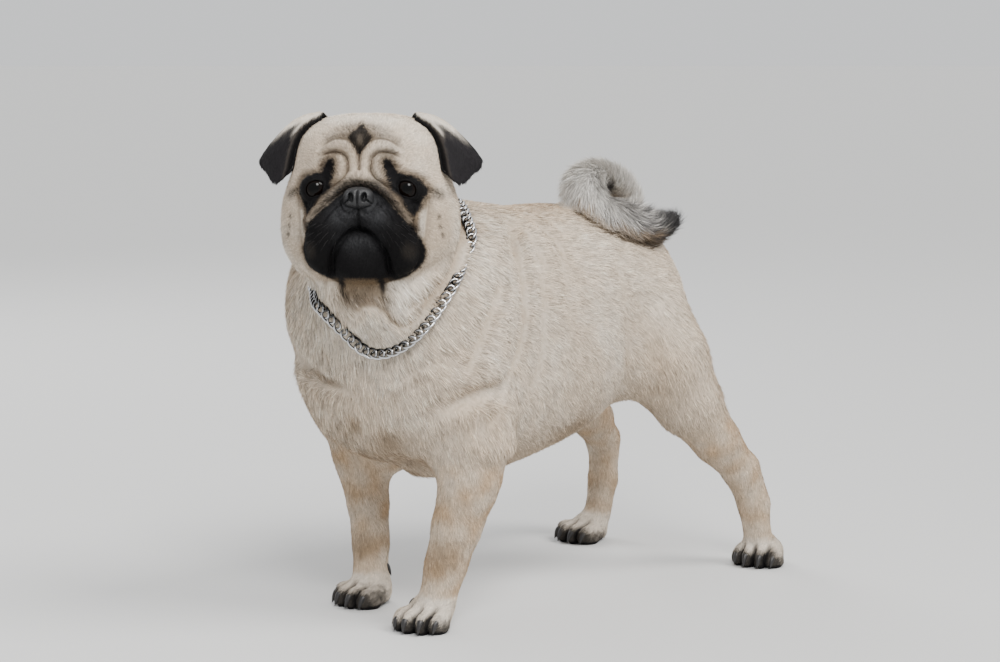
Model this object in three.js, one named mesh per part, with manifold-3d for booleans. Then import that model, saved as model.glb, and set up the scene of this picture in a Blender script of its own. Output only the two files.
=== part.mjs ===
// A pug standing squarely with its head turned to its left, life size, in millimetres.
// +Z is up, the nose end is towards -Y and the left side is towards +X.
// The flesh is one soft field. Each part is a closed skin pushed out to that field and parted
// from its neighbours by thin cuts. Eyes, nose, ears, claws and the collar are pieces of their own.
import * as THREE from "three";
import { mergeVertices } from "three/addons/utils/BufferGeometryUtils.js";
import Module from "manifold-3d";

const wasm = await Module();
wasm.setup();

const V = (x, y, z) => new THREE.Vector3(x, y, z);
const degrees = THREE.MathUtils.degToRad;
const { clamp, lerp } = THREE.MathUtils;

// Driving sizes
const GAP = 0.3; // between parts that touch
const WITHERS = 315; // the back over the shoulders
const CHEST_HALF_WIDTH = 87;
const LOIN_HALF_WIDTH = 74;
const BODY_FRONT = -178; // where the chest starts to round off
const BODY_REAR = 70; // where the rump starts to round off
const CHEST_CAP = 44;
const RUMP_CAP = 62;
const BODY_POWER = 2.35; // squareness of the body's sections
const BOX_SIZE = 1200; // half-space boxes

// Head: its place, and how it is turned to the left and tipped up
const HEAD_AT = V(20, -206, 327);
const HEAD_YAW = degrees(39);
const HEAD_PITCH = degrees(-4);
const EYE = { x: 33.5, y: -40.5, z: 6.5, radius: 10.5, lid: 1.7, opening: 8 };
const NOSE = { y: -60, z: 0, half: V(11, 8.5, 8) };

// Feet: the middle of each paw on the ground, its turn to the left, and the joints above it
const FEET = {
  front_left: {
    at: V(48, -177, 0),
    turn: degrees(20),
    side: 1,
    joints: [
      { at: V(60, -150, 236), r: 30 },
      { at: V(70, -158, 182), r: 31 },
      { at: V(76, -150, 142), r: 27 },
      { at: V(70, -154, 108), r: 21 },
      { at: V(62, -158, 78), r: 17.5 },
      { at: V(55, -162, 50), r: 14.5 },
      { at: V(51, -168, 22), r: 15 },
    ],
  },
  front_right: {
    at: V(-44.5, -153, 0),
    turn: degrees(-2),
    side: -1,
    joints: [
      { at: V(-58, -146, 236), r: 30 },
      { at: V(-68, -146, 182), r: 30 },
      { at: V(-72, -138, 142), r: 28 },
      { at: V(-64, -138, 108), r: 19.5 },
      { at: V(-56, -140, 78), r: 15 },
      { at: V(-51, -142, 50), r: 13 },
      { at: V(-47, -146, 22), r: 15 },
    ],
  },
  hind_left: {
    at: V(90, 182, 0),
    turn: degrees(18),
    side: 1,
    joints: [
      { at: V(50, 74, 225), r: 34 },
      { at: V(63, 80, 182), r: 38 },
      { at: V(74, 101, 146), r: 27 },
      { at: V(81, 130, 112), r: 18.5 },
      { at: V(86.5, 157, 84), r: 14.5 },
      { at: V(88.5, 171.5, 56), r: 12.2 },
      { at: V(89, 178, 24), r: 12.5 },
    ],
  },
  hind_right: {
    at: V(-84, 150, 0),
    turn: degrees(-4),
    side: -1,
    joints: [
      { at: V(-50, 70, 225), r: 34 },
      { at: V(-62, 76, 182), r: 38 },
      { at: V(-72, 104, 146), r: 27 },
      { at: V(-79, 151, 114), r: 18 },
      { at: V(-83.5, 174, 88), r: 13.5 },
      { at: V(-83.5, 173.5, 54), r: 11.5 },
      { at: V(-82, 165, 24), r: 12.5 },
    ],
  },
};
const PAW_TOP = 25;
const PAW_REST = 1.5; // how much of each sole is pressed flat

// Field pieces: each is a function of a point, negative inside

const softMin = (a, b, k) => {
  const h = Math.max(k - Math.abs(a - b), 0) / k;
  return Math.min(a, b) - h * h * k * 0.25;
};

// Pieces joined one after another, each with its own softness
const joined = (...pieces) => (p) => {
  let d = 1e3;
  for (const [piece, k] of pieces) d = softMin(d, piece(p), k);
  return d;
};

// An ellipsoid, squarer as the power rises, turned by Euler angles
const ball = (centre, radii, power = 2, turn = [0, 0, 0]) => {
  const back = new THREE.Quaternion().setFromEuler(new THREE.Euler(...turn)).invert();
  const q = V(0, 0, 0);
  const least = Math.min(radii.x, radii.y, radii.z);
  return (p) => {
    q.copy(p).sub(centre).applyQuaternion(back);
    const x = Math.abs(q.x) / radii.x;
    const y = Math.abs(q.y) / radii.y;
    const z = Math.abs(q.z) / radii.z;
    const reach = (x ** power + y ** power + z ** power) ** (1 / power);
    if (reach < 1e-6) return -least;
    return (reach - 1) * clamp(q.length() / reach, least, 3 * least);
  };
};

// A limb through joints, as rounded lengths that taper
const limb = (joints, k) => {
  const lengths = joints.slice(1).map((end, i) => {
    const start = joints[i];
    const along = end.at.clone().sub(start.at);
    const span = along.lengthSq();
    const q = V(0, 0, 0);
    return (p) => {
      q.copy(p).sub(start.at);
      const t = clamp(q.dot(along) / span, 0, 1);
      q.addScaledVector(along, -t);
      return q.length() - lerp(start.r, end.r, t);
    };
  });
  return joined(...lengths.map((length) => [length, k]));
};

// A field given in a turned and moved frame of its own
const placed = (field, matrix) => {
  const back = matrix.clone().invert();
  const q = V(0, 0, 0);
  return (p) => field(q.copy(p).applyMatrix4(back));
};

const bothSides = (make) => [make(1), make(-1)];
const bump = (t) => Math.exp(-t * t);

// Trunk: the back line, belly line and half width from the chest to the rump

const SECTIONS = [
  { y: BODY_FRONT, top: 286, bottom: 124, half: CHEST_HALF_WIDTH - 3 },
  { y: -140, top: 304, bottom: 106, half: CHEST_HALF_WIDTH },
  { y: -95, top: WITHERS - 1, bottom: 103, half: CHEST_HALF_WIDTH + 1 },
  { y: -45, top: WITHERS - 2, bottom: 110, half: CHEST_HALF_WIDTH + 1 },
  { y: 5, top: WITHERS - 2, bottom: 122, half: CHEST_HALF_WIDTH - 2 },
  { y: 45, top: WITHERS - 5, bottom: 142, half: LOIN_HALF_WIDTH + 3 },
  { y: BODY_REAR, top: 306, bottom: 158, half: LOIN_HALF_WIDTH - 4 },
];
const sectionCurve = (key) =>
  new THREE.SplineCurve(SECTIONS.map((section) => new THREE.Vector2(section.y, section[key])));
const TOP = sectionCurve("top");
const BOTTOM = sectionCurve("bottom");
const HALF = sectionCurve("half");

// The spline parameter at a place along the body
const sectionParameter = (y) => {
  const last = SECTIONS.length - 1;
  let index = 0;
  while (index < last - 1 && SECTIONS[index + 1].y <= y) index++;
  const share = (y - SECTIONS[index].y) / (SECTIONS[index + 1].y - SECTIONS[index].y);
  return (index + clamp(share, 0, 1)) / last;
};

const torsoField = (p) => {
  const t = sectionParameter(clamp(p.y, BODY_FRONT, BODY_REAR));
  const top = TOP.getPoint(t).y;
  const bottom = BOTTOM.getPoint(t).y;
  const half = HALF.getPoint(t).y;
  const middle = lerp(bottom, top, 0.52);
  const height = p.z > middle ? top - middle : middle - bottom;
  const past = Math.max(0, (BODY_FRONT - p.y) / CHEST_CAP, (p.y - BODY_REAR) / RUMP_CAP);
  const x = Math.abs(p.x) / half;
  const z = Math.abs(p.z - middle) / height;
  const power = p.y > BODY_REAR ? 2.1 : BODY_POWER;
  const reach = (x ** power + z ** power + past ** power) ** (1 / power);
  return (reach - 1) * Math.min(half, height) * 0.9;
};

// The head's frame: nose towards -Y, the nose's height at Z 0

const headMatrix = new THREE.Matrix4()
  .makeRotationFromEuler(new THREE.Euler(HEAD_PITCH, 0, HEAD_YAW, "ZYX"))
  .setPosition(HEAD_AT);
const toHead = (x, y, z) => V(x, y, z).applyMatrix4(headMatrix);
const headTurned = (x, y, z) => V(x, y, z).transformDirection(headMatrix);

// Neck: a thick short cone from between the shoulders to the back of the skull

const neckField = joined(
  [limb([
    { at: V(0, -100, 240), r: 69 },
    { at: V(3, -140, 249), r: 65.5 },
    { at: V(10, -174, 268), r: 62 },
  ], 20), 10],
  [ball(V(-9, -176, 250), V(81, 42, 58), 2.3), 22],
  [ball(toHead(0, -8, -66), V(42, 34, 30), 2.2, [0, 0, HEAD_YAW]), 12],
);

// Paws: toes towards -Y, the ground at Z 0

const TOES = [
  { x: -15.5, y: -8, r: 7.5 },
  { x: -6, y: -13.5, r: 8 },
  { x: 6, y: -13.5, r: 8 },
  { x: 15.5, y: -8, r: 7.5 },
];
const TOE = { length: 12, height: 10.5, lift: 8.5 };

const pawField = joined(
  [ball(V(0, 4, 12), V(18, 17, 14)), 4],
  ...TOES.map((toe) => [ball(V(toe.x, toe.y, TOE.lift), V(toe.r, TOE.length, TOE.height)), 3]),
);
const footMatrix = (foot) =>
  new THREE.Matrix4().makeRotationZ(foot.turn).setPosition(foot.at.x, foot.at.y, -PAW_REST);

// Head, in its own frame: nose towards -Y, the nose's height at Z 0.
// Folds and grooves are paths across the face (x, z), mirrored, with their height and half width.

const CREASES = [
  { name: "nose roll", rise: 5, width: 5.5, path: [[0, 15], [11.5, 12], [23, 4], [32, -7], [37, -18]] },
  { name: "under the nose roll", rise: -2.5, width: 3.6, path: [[0, 8], [10, 5.5], [18, -3], [25, -13]] },
  { name: "inner brow", rise: -3, width: 3.6, path: [[24, 33], [14, 32], [8, 25], [9, 17]] },
  { name: "outer brow", rise: -1.6, width: 4.6, path: [[0, 22], [2, 34], [8, 43], [17, 45], [28, 41]] },
  { name: "mouth", rise: -4.5, width: 3.4, path: [[0, -23.5], [9, -27.5], [16, -36], [20.5, -49], [22, -60]] },
  { name: "philtrum", rise: -1.6, width: 3, path: [[0, -8], [0, -24]] },
].map((crease) => {
  const curve = new THREE.SplineCurve(crease.path.map(([x, z]) => new THREE.Vector2(x, z)));
  return { ...crease, points: curve.getPoints(crease.path.length * 4) };
});

const distanceToPath = (x, z, points) => {
  let least = 1e9;
  for (let i = 1; i < points.length; i++) {
    const a = points[i - 1];
    const b = points[i];
    const dx = b.x - a.x;
    const dz = b.y - a.y;
    const t = clamp(((x - a.x) * dx + (z - a.y) * dz) / (dx * dx + dz * dz + 1e-9), 0, 1);
    least = Math.min(least, Math.hypot(x - a.x - t * dx, z - a.y - t * dz));
  }
  return least;
};

const faceRelief = (p) => {
  const front = clamp((-14 - p.y) / 16, 0, 1);
  if (front === 0) return 0;
  const x = Math.abs(p.x);
  let rise = 0;
  for (const { rise: height, width, points } of CREASES) {
    const d = distanceToPath(x, p.z, points) / width;
    if (d < 2.5) rise += height * bump(d);
  }
  return rise * front;
};

const headBase = joined(
  [ball(V(0, 4, -19), V(67, 52, 52), 2.4), 4],
  [ball(V(0, 4, 17), V(56, 49, 46), 2.9), 14],
  [ball(V(0, -24, 24), V(40, 26, 26), 2.3), 10],
  [ball(V(0, -34, -32), V(43, 24, 31), 2.5), 10],
  ...bothSides((s) => [ball(V(s * 19, -43, -24), V(21, 19, 23), 2.2, [0, 0, s * degrees(-10)]), 7]),
  [ball(V(0, -44, -10), V(14, 18, 14), 2.2), 6],
  [ball(V(0, -43, -46), V(19, 17, 17), 2.2), 3],
  ...bothSides((s) => [ball(V(s * EYE.x, EYE.y, EYE.z), V(1, 1, 1).multiplyScalar(EYE.radius + EYE.lid)), 4]),
);
const headField = (p) => headBase(p) - faceRelief(p);

// The whole animal without its head

const feet = Object.entries(FEET).map(([name, foot]) => ({
  name,
  ...foot,
  leg: limb(foot.joints, 12),
  paw: placed(pawField, footMatrix(foot)),
}));
const trunkField = joined([torsoField, 10], [neckField, 30]);
const bodyField = joined([trunkField, 10], ...feet.flatMap(({ leg, paw }) => [[leg, 20], [paw, 7]]));

// Solids

const solidOf = (geometry) => {
  const bare = geometry.clone();
  for (const name of Object.keys(bare.attributes)) if (name !== "position") bare.deleteAttribute(name);
  const merged = mergeVertices(bare, 1e-3);
  const kept = [];
  for (let i = 0; i < merged.index.count; i += 3) {
    const [a, b, c] = [0, 1, 2].map((k) => merged.index.getX(i + k));
    if (a !== b && b !== c && a !== c) kept.push(a, b, c);
  }
  return new wasm.Manifold(new wasm.Mesh({
    numProp: 3,
    vertProperties: new Float32Array(merged.attributes.position.array),
    triVerts: new Uint32Array(kept),
  }));
};

const geometryOf = (solid) => {
  const mesh = solid.getMesh();
  const positions = new Float32Array(mesh.numVert * 3);
  for (let i = 0; i < mesh.numVert; i++) {
    positions.set(mesh.vertProperties.subarray(i * mesh.numProp, i * mesh.numProp + 3), i * 3);
  }
  const geometry = new THREE.BufferGeometry();
  geometry.setAttribute("position", new THREE.BufferAttribute(positions, 3));
  geometry.setIndex(new THREE.BufferAttribute(new Uint32Array(mesh.triVerts), 1));
  return geometry;
};

const largest = (solid) =>
  solid.decompose().reduce((best, piece) => (piece.volume() > best.volume() ? piece : best));

// How far along a ray from inside the field its surface lies
const reachOf = (field, from, direction, furthest) => {
  const p = V(0, 0, 0);
  let near = 0;
  let far = furthest;
  let t = 0;
  while (t < furthest) {
    const d = field(p.copy(from).addScaledVector(direction, t));
    if (d > 0) {
      far = t;
      break;
    }
    near = t;
    t += clamp(-d * 0.7, 0.6, 5);
  }
  for (let i = 0; i < 14; i++) {
    const middle = (near + far) / 2;
    if (field(p.copy(from).addScaledVector(direction, middle)) > 0) far = middle;
    else near = middle;
  }
  return (near + far) / 2;
};

// A capsule along an axis of points, pushed out to the field
const skinAlong = (field, axis, { sides, rows, caps, furthest = 160, up = V(0, 0, 1) }) => {
  const curve = new THREE.CatmullRomCurve3(axis);
  const shape = new THREE.CapsuleGeometry(1, 1, caps, sides, rows);
  const at = shape.attributes.position;
  const foot = V(0, 0, 0);
  for (let i = 0; i < at.count; i++) {
    const [x, y, z] = [at.getX(i), at.getY(i), at.getZ(i)];
    const t = clamp(y + 0.5, 0, 1);
    const tangent = curve.getTangentAt(t);
    const side = V(0, 0, 0).crossVectors(tangent, up).normalize();
    const lift = V(0, 0, 0).crossVectors(side, tangent);
    const direction = V(0, 0, 0)
      .addScaledVector(side, x)
      .addScaledVector(lift, z)
      .addScaledVector(tangent, y + 0.5 - t)
      .normalize();
    foot.copy(curve.getPointAt(t));
    foot.addScaledVector(direction, reachOf(field, foot, direction, furthest));
    at.setXYZ(i, foot.x, foot.y, foot.z);
  }
  return solidOf(shape);
};

// A ball round a point, its pole along an axis and its rings spread by a function, pushed out to the field
const skinRound = (field, centre, axis, up, { sides, rows, spread = (s) => s, furthest = 160 }) => {
  const shape = new THREE.SphereGeometry(1, sides, rows);
  const at = shape.attributes.position;
  const side = V(0, 0, 0).crossVectors(axis, up).normalize();
  const lift = V(0, 0, 0).crossVectors(side, axis);
  const foot = V(0, 0, 0);
  for (let i = 0; i < at.count; i++) {
    const [x, y, z] = [at.getX(i), at.getY(i), at.getZ(i)];
    const polar = spread(Math.acos(clamp(y, -1, 1)) / Math.PI) * Math.PI;
    const round = Math.hypot(x, z) || 1;
    const direction = V(0, 0, 0)
      .addScaledVector(axis, Math.cos(polar))
      .addScaledVector(side, (Math.sin(polar) * x) / round)
      .addScaledVector(lift, (Math.sin(polar) * z) / round);
    foot.copy(centre).addScaledVector(direction, reachOf(field, centre, direction, furthest));
    at.setXYZ(i, foot.x, foot.y, foot.z);
  }
  return solidOf(shape);
};

// A cut is a plane. Its region is the side that its normal points to.
const cut = (point, normal) => ({ point, normal: normal.clone().normalize() });
const height = ({ point, normal }, p) =>
  (p.x - point.x) * normal.x + (p.y - point.y) * normal.y + (p.z - point.z) * normal.z;
const opposite = ({ point, normal }) => ({ point, normal: normal.clone().negate() });
const halfSpace = ({ point, normal }, shift) => {
  const box = new THREE.BoxGeometry(BOX_SIZE, BOX_SIZE, BOX_SIZE);
  box.translate(0, 0, BOX_SIZE / 2 + shift);
  box.applyQuaternion(new THREE.Quaternion().setFromUnitVectors(V(0, 0, 1), normal));
  box.translate(point.x, point.y, point.z);
  return solidOf(box);
};
const regionOf = (cuts, shift) =>
  cuts.map((c) => halfSpace(c, shift)).reduce((all, half) => all.intersect(half));
const within = (solid, cuts) => solid.intersect(regionOf(cuts, GAP / 2));
const without = (solid, cuts) => solid.subtract(regionOf(cuts, -GAP / 2));

// The field is limited a little past the cuts, and the cuts themselves are exact
const SPARE = 8;
const limited = (field, cuts) => (p) =>
  cuts.reduce((d, c) => Math.max(d, -height(c, p) - SPARE), field(p));
const outside = (field, cuts) => (p) => {
  const inside = Math.min(...cuts.map((c) => height(c, p)));
  return Math.max(field(p), inside - SPARE);
};

// Cuts

const NECK_CUT = cut(V(0, -128, 262), V(0, -0.66, 0.75));
const GROUND = cut(V(0, 0, 0), V(0, 0, -1));
const MIDLINE = 9; // half the strip of trunk between the legs of a pair
const midline = (side) => cut(V(side * MIDLINE, 0, 0), V(side, 0, 0));
const foreRegion = (side, y) => [
  cut(V(side * 58, y, 160), V(side * 0.62, 0, -0.78)),
  cut(V(side * 60, y + 42, 140), V(0, -1, -0.35)),
  midline(side),
];
const hindRegion = (side, y) => [
  cut(V(side * 46, y, 215), V(side * 0.62, 0.1, -0.75)),
  cut(V(side * 60, y - 46, 170), V(0, 1, -0.1)),
  midline(side),
];
const LEG_REGIONS = {
  front_left: foreRegion(1, -150),
  front_right: foreRegion(-1, -138),
  hind_left: hindRegion(1, 80),
  hind_right: hindRegion(-1, 76),
};
const KNEE_CUTS = {
  front_left: cut(V(67, -155, 128), V(0.1, 0, -1)),
  front_right: cut(V(-65, -135, 128), V(-0.1, 0, -1)),
  hind_left: cut(V(77, 116, 130), V(0.1, 0.5, -0.8)),
  hind_right: cut(V(-76, 122, 130), V(-0.1, 0.5, -0.8)),
};
const PAW_CUT = cut(V(0, 0, PAW_TOP), V(0, 0, -1));

// Parts

const dog = new THREE.Group();
const finish = (color, roughness = 0.85, metalness = 0) =>
  new THREE.MeshStandardMaterial({ color, roughness, metalness });
const FAWN = 0xcdb9a2;
const BLACK = 0x2b2726;

const addPart = (name, solid, material) => {
  const mesh = new THREE.Mesh(geometryOf(largest(solid)), material);
  mesh.name = name;
  dog.add(mesh);
};

// Head
const FACE_ROWS = 0.76; // share of the head's rings that lie on its face
const FACE_REACH = 0.345; // how far round the head they go
const faceSpread = (s) => s < FACE_ROWS
  ? (s / FACE_ROWS) * FACE_REACH
  : lerp(FACE_REACH, 1, ((s - FACE_ROWS) / (1 - FACE_ROWS)) ** 1.25);
const HEAD_MESH = { sides: 58, rows: 30, spread: faceSpread, furthest: 130 };
const SEAT_MESH = { sides: 36, rows: 18, furthest: 130 };
const SEAT_GAP = 0.95; // wider than the gap itself, as the seat is faceted more coarsely than the head
const headSkin = (field, mesh) => skinRound(
  placed(field, headMatrix),
  toHead(0, -8, -9),
  headTurned(0, -1, 0),
  headTurned(0, 0, 1),
  mesh,
);
const headSeat = headSkin((p) => headBase(p) - SEAT_GAP, SEAT_MESH);
const inHead = (geometry, x, y, z) => {
  geometry.translate(x, y, z);
  geometry.applyMatrix4(headMatrix);
  return solidOf(geometry);
};
const eyeBall = (s, radius) =>
  inHead(new THREE.SphereGeometry(radius, 14, 9).rotateX(Math.PI / 2), s * EYE.x, EYE.y, EYE.z);
const eyeOpening = (s) => inHead(
  new THREE.SphereGeometry(1, 14, 8).rotateX(Math.PI / 2).scale(EYE.opening + 0.6, 9, EYE.opening - 0.4),
  s * EYE.x,
  EYE.y - EYE.radius,
  EYE.z,
);
const noseBlock = (grow) => inHead(
  new THREE.SphereGeometry(1, 16, 11).rotateX(Math.PI / 2)
    .scale(NOSE.half.x + grow, NOSE.half.y + grow, NOSE.half.z + grow),
  0,
  NOSE.y,
  NOSE.z,
);
let head = headSkin(headField, HEAD_MESH);
for (const s of [1, -1]) head = head.subtract(eyeBall(s, EYE.radius + GAP)).subtract(eyeOpening(s));
head = head.subtract(noseBlock(GAP));
addPart("head", head, finish(FAWN));
addPart("eye_left", eyeBall(1, EYE.radius), finish(0x1a0f0a, 0.08));
addPart("eye_right", eyeBall(-1, EYE.radius), finish(0x1a0f0a, 0.08));

// Nose leather, with a nostril and its slit on each side
const nostril = (s, x, z, radii) => inHead(
  new THREE.SphereGeometry(1, 7, 5).scale(...radii),
  s * x,
  NOSE.y - NOSE.half.y + 1.2,
  z,
);
let nose = noseBlock(0);
for (const s of [1, -1]) {
  nose = nose.subtract(nostril(s, 4.6, 0.4, [2.2, 4, 1.9]));
  nose = nose.subtract(nostril(s, 8.2, -1.6, [3, 3.6, 1.1]));
}
addPart("nose", nose, finish(BLACK, 0.45));

// Ears: a leaf from its root on the skull over a rounded crest to a hanging tip
const EAR = {
  across: 8,
  down: 9,
  thickness: 3.4,
  crest: [V(33, -8, 63.5), V(51, -6, 58.5), V(68, -1, 44.5), V(82, 4, 29)],
  root: [V(27, 3, 53), V(41, 6, 48), V(52, 10, 36), V(58, 14, 20)],
  hang: V(0.02, -0.36, -0.93),
  lengths: [8, 35, 38, 7],
};
const earSurface = (s) => {
  const crest = new THREE.CatmullRomCurve3(EAR.crest);
  const root = new THREE.CatmullRomCurve3(EAR.root);
  const lengths = new THREE.SplineCurve(EAR.lengths.map((l, i) => new THREE.Vector2(i, l)));
  return (u, v) => {
    const top = crest.getPoint(u);
    const tip = top.clone().addScaledVector(EAR.hang, lengths.getPoint(u).y);
    const over = top.clone().addScaledVector(V(0.3, -0.75, 0.1), 6 + 3 * Math.sin(Math.PI * u));
    over.z -= 5;
    const line = new THREE.CatmullRomCurve3([root.getPoint(u), top, over, tip]);
    const p = line.getPoint(v);
    return toHead(s * p.x, p.y, p.z);
  };
};

// A leaf as a squashed sheet: both faces share one grid and meet round the rim
const leaf = (surface, across, down, thickness, s) => {
  const shape = new THREE.BoxGeometry(1, 1, 1, across, down, 1);
  const at = shape.attributes.position;
  for (let i = 0; i < at.count; i++) {
    const u = at.getX(i) + 0.5;
    const v = at.getY(i) + 0.5;
    const e = 0.02;
    const du = surface(Math.min(u + e, 1), v).sub(surface(Math.max(u - e, 0), v));
    const dv = surface(u, Math.min(v + e, 1)).sub(surface(u, Math.max(v - e, 0)));
    const normal = V(0, 0, 0).crossVectors(du, dv).normalize().multiplyScalar(s);
    const rim = Math.min(u, 1 - u, 1 - v);
    const thick = thickness * (0.45 + 0.55 * clamp(rim / 0.14, 0, 1));
    const p = surface(u, v).addScaledVector(normal, at.getZ(i) * thick);
    at.setXYZ(i, p.x, p.y, p.z);
  }
  return solidOf(shape);
};
for (const [s, side] of [[1, "left"], [-1, "right"]]) {
  const ear = leaf(earSurface(s), EAR.across, EAR.down, EAR.thickness, 1);
  addPart(`ear_${side}`, ear.subtract(headSeat), finish(BLACK));
}

// Neck, hollowed where the head is set into it
const NECK_FRONT = cut(V(60, -255, 345), V(-0.5, 0.75, -0.35));
let neck = skinAlong(
  limited(bodyField, [NECK_CUT, NECK_FRONT]),
  [V(1, -148, 268), V(8, -172, 290)],
  { sides: 30, rows: 3, caps: 6, furthest: 150 },
);
neck = within(neck, [NECK_CUT]).subtract(headSeat);
addPart("neck", neck, finish(FAWN));

// Torso
let torso = skinAlong(
  Object.values(LEG_REGIONS).reduce(outside, outside(bodyField, [NECK_CUT])),
  [V(0, -150, 200), V(0, -60, 206), V(0, 10, 216), V(0, 66, 232)],
  { sides: 34, rows: 16, caps: 6, furthest: 220 },
);
torso = without(torso, [NECK_CUT]);
for (const cuts of Object.values(LEG_REGIONS)) torso = without(torso, cuts);
addPart("torso", torso, finish(FAWN));

// Legs, paws and claws
const partNames = {
  front: { upper: "upper_arm", lower: "forearm", paw: "forepaw" },
  hind: { upper: "thigh", lower: "shank", paw: "hindpaw" },
};
const CLAW = { length: 10, root: 2.4, tip: 0.8, droop: degrees(38), bend: 1.6 };
const claw = (matrix, x, y, z, turn) => {
  const shape = new THREE.CylinderGeometry(CLAW.tip, CLAW.root, CLAW.length, 5, 2);
  const at = shape.attributes.position;
  for (let i = 0; i < at.count; i++) {
    const along = at.getY(i) / CLAW.length + 0.5;
    at.setZ(i, at.getZ(i) + CLAW.bend * along * along);
  }
  shape.rotateX(Math.PI + CLAW.droop).rotateZ(turn).translate(x, y, z).applyMatrix4(matrix);
  return solidOf(shape);
};
for (const { name, joints, ...foot } of feet) {
  const [end, sideName] = name.split("_");
  const names = partNames[end];
  const region = LEG_REGIONS[name];
  const knee = KNEE_CUTS[name];
  const at = joints.map((joint) => joint.at);
  const upper = skinAlong(
    limited(bodyField, [...region, opposite(knee)]),
    [at[1].clone().lerp(at[0], 0.1), at[1].clone().lerp(at[2], 0.8)],
    { sides: 16, rows: 5, caps: 4, furthest: 90, up: V(0, -1, 0) },
  );
  addPart(`${names.upper}_${sideName}`, within(within(upper, region), [opposite(knee)]), finish(FAWN));
  const lower = skinAlong(
    limited(bodyField, [...region, knee, opposite(PAW_CUT)]),
    [at[2].clone().lerp(at[3], 0.5), at[3], at[4], at[5], at[5].clone().lerp(at[6], 0.85)],
    { sides: 14, rows: 10, caps: 2, furthest: 60, up: V(0, -1, 0) },
  );
  addPart(`${names.lower}_${sideName}`, within(within(lower, [...region, knee]), [opposite(PAW_CUT)]), finish(FAWN));

  const m = footMatrix(foot);
  let paw = skinAlong(
    limited(bodyField, [PAW_CUT]),
    [V(0, -8, 12).applyMatrix4(m), V(0, 3, 13).applyMatrix4(m)],
    { sides: 22, rows: 1, caps: 5, furthest: 60 },
  );
  paw = within(paw, [PAW_CUT]).subtract(halfSpace(GROUND, 0));
  addPart(`${names.paw}_${sideName}`, paw, finish(0x8f8478));
  const pawGrown = skinAlong(
    (p) => bodyField(p) - GAP,
    [V(0, -8, 12).applyMatrix4(m), V(0, 3, 13).applyMatrix4(m)],
    { sides: 22, rows: 1, caps: 5, furthest: 60 },
  );
  TOES.forEach((toe, i) => {
    const tip = claw(m, toe.x, toe.y - TOE.length + 0.6, TOE.lift - 0.6, degrees(toe.x));
    addPart(`claw_${name}_${i + 1}`, tip.subtract(pawGrown), finish(0x1d1b1a, 0.5));
  });
}

// Tail: from the rump it rises to the right, rolls over and comes down on the left hip
const TAIL = [
  { at: V(2, 94, 283), r: 13.5 },
  { at: V(-3, 108, 299), r: 12.5 },
  { at: V(-5, 111, 314), r: 12 },
  { at: V(3, 72, 331), r: 12.5 },
  { at: V(19, 31, 325), r: 16 },
  { at: V(34, 24, 308), r: 17 },
  { at: V(46, 45, 297), r: 17 },
  { at: V(52, 76, 290), r: 14 },
  { at: V(52, 107, 294), r: 4 },
];
const tailCurve = new THREE.CatmullRomCurve3(TAIL.map((joint) => joint.at));
const tailRadius = new THREE.SplineCurve(TAIL.map((joint, i) => new THREE.Vector2(i, joint.r)));
const tailLength = (from, to, sides, rows, grow = 0) => {
  const shape = new THREE.CapsuleGeometry(1, 1, 3, sides, rows);
  const at = shape.attributes.position;
  for (let i = 0; i < at.count; i++) {
    const [x, y, z] = [at.getX(i), at.getY(i), at.getZ(i)];
    const t = lerp(from, to, clamp(y + 0.5, 0, 1));
    const r = tailRadius.getPoint(t).y + grow;
    const past = y > 0.5 ? y - 0.5 : Math.min(0, y + 0.5);
    const tangent = tailCurve.getTangent(t);
    const side = V(0, 0, 0).crossVectors(tangent, V(0.95, 0.3, 0)).normalize();
    const lift = V(0, 0, 0).crossVectors(side, tangent).normalize();
    const p = tailCurve.getPoint(t)
      .addScaledVector(side, x * r)
      .addScaledVector(lift, z * r)
      .addScaledVector(tangent, past * r);
    at.setXYZ(i, p.x, p.y, p.z);
  }
  return solidOf(shape);
};
const TAIL_SEAT = 0.7; // wider than the gap, as this copy of the rump is faceted in its own way
const rumpGrown = skinAlong(
  (p) => bodyField(p) - TAIL_SEAT,
  [V(0, -20, 214), V(0, 66, 232)],
  { sides: 36, rows: 8, caps: 9, furthest: 220 },
);
const TAIL_CUT = cut(V(6, 62, 350), V(0.3, -0.95, 0.1));
const TAIL_SPLIT = 0.42; // share of the tail's length in its first part
const tailRoot = tailLength(0, TAIL_SPLIT, 12, 9).subtract(rumpGrown);
addPart("tail_root", tailRoot.subtract(halfSpace(TAIL_CUT, -GAP / 2)), finish(FAWN));
const tailCurl = tailLength(TAIL_SPLIT - 0.06, 1, 12, 11).subtract(rumpGrown);
const TAIL_SIDE = cut(V(22, 0, 0), V(-1, 0, 0)); // between the tail's rise and its tip
addPart("tail_curl", without(tailCurl, [opposite(TAIL_CUT), TAIL_SIDE]), finish(0x7d746c));

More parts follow.
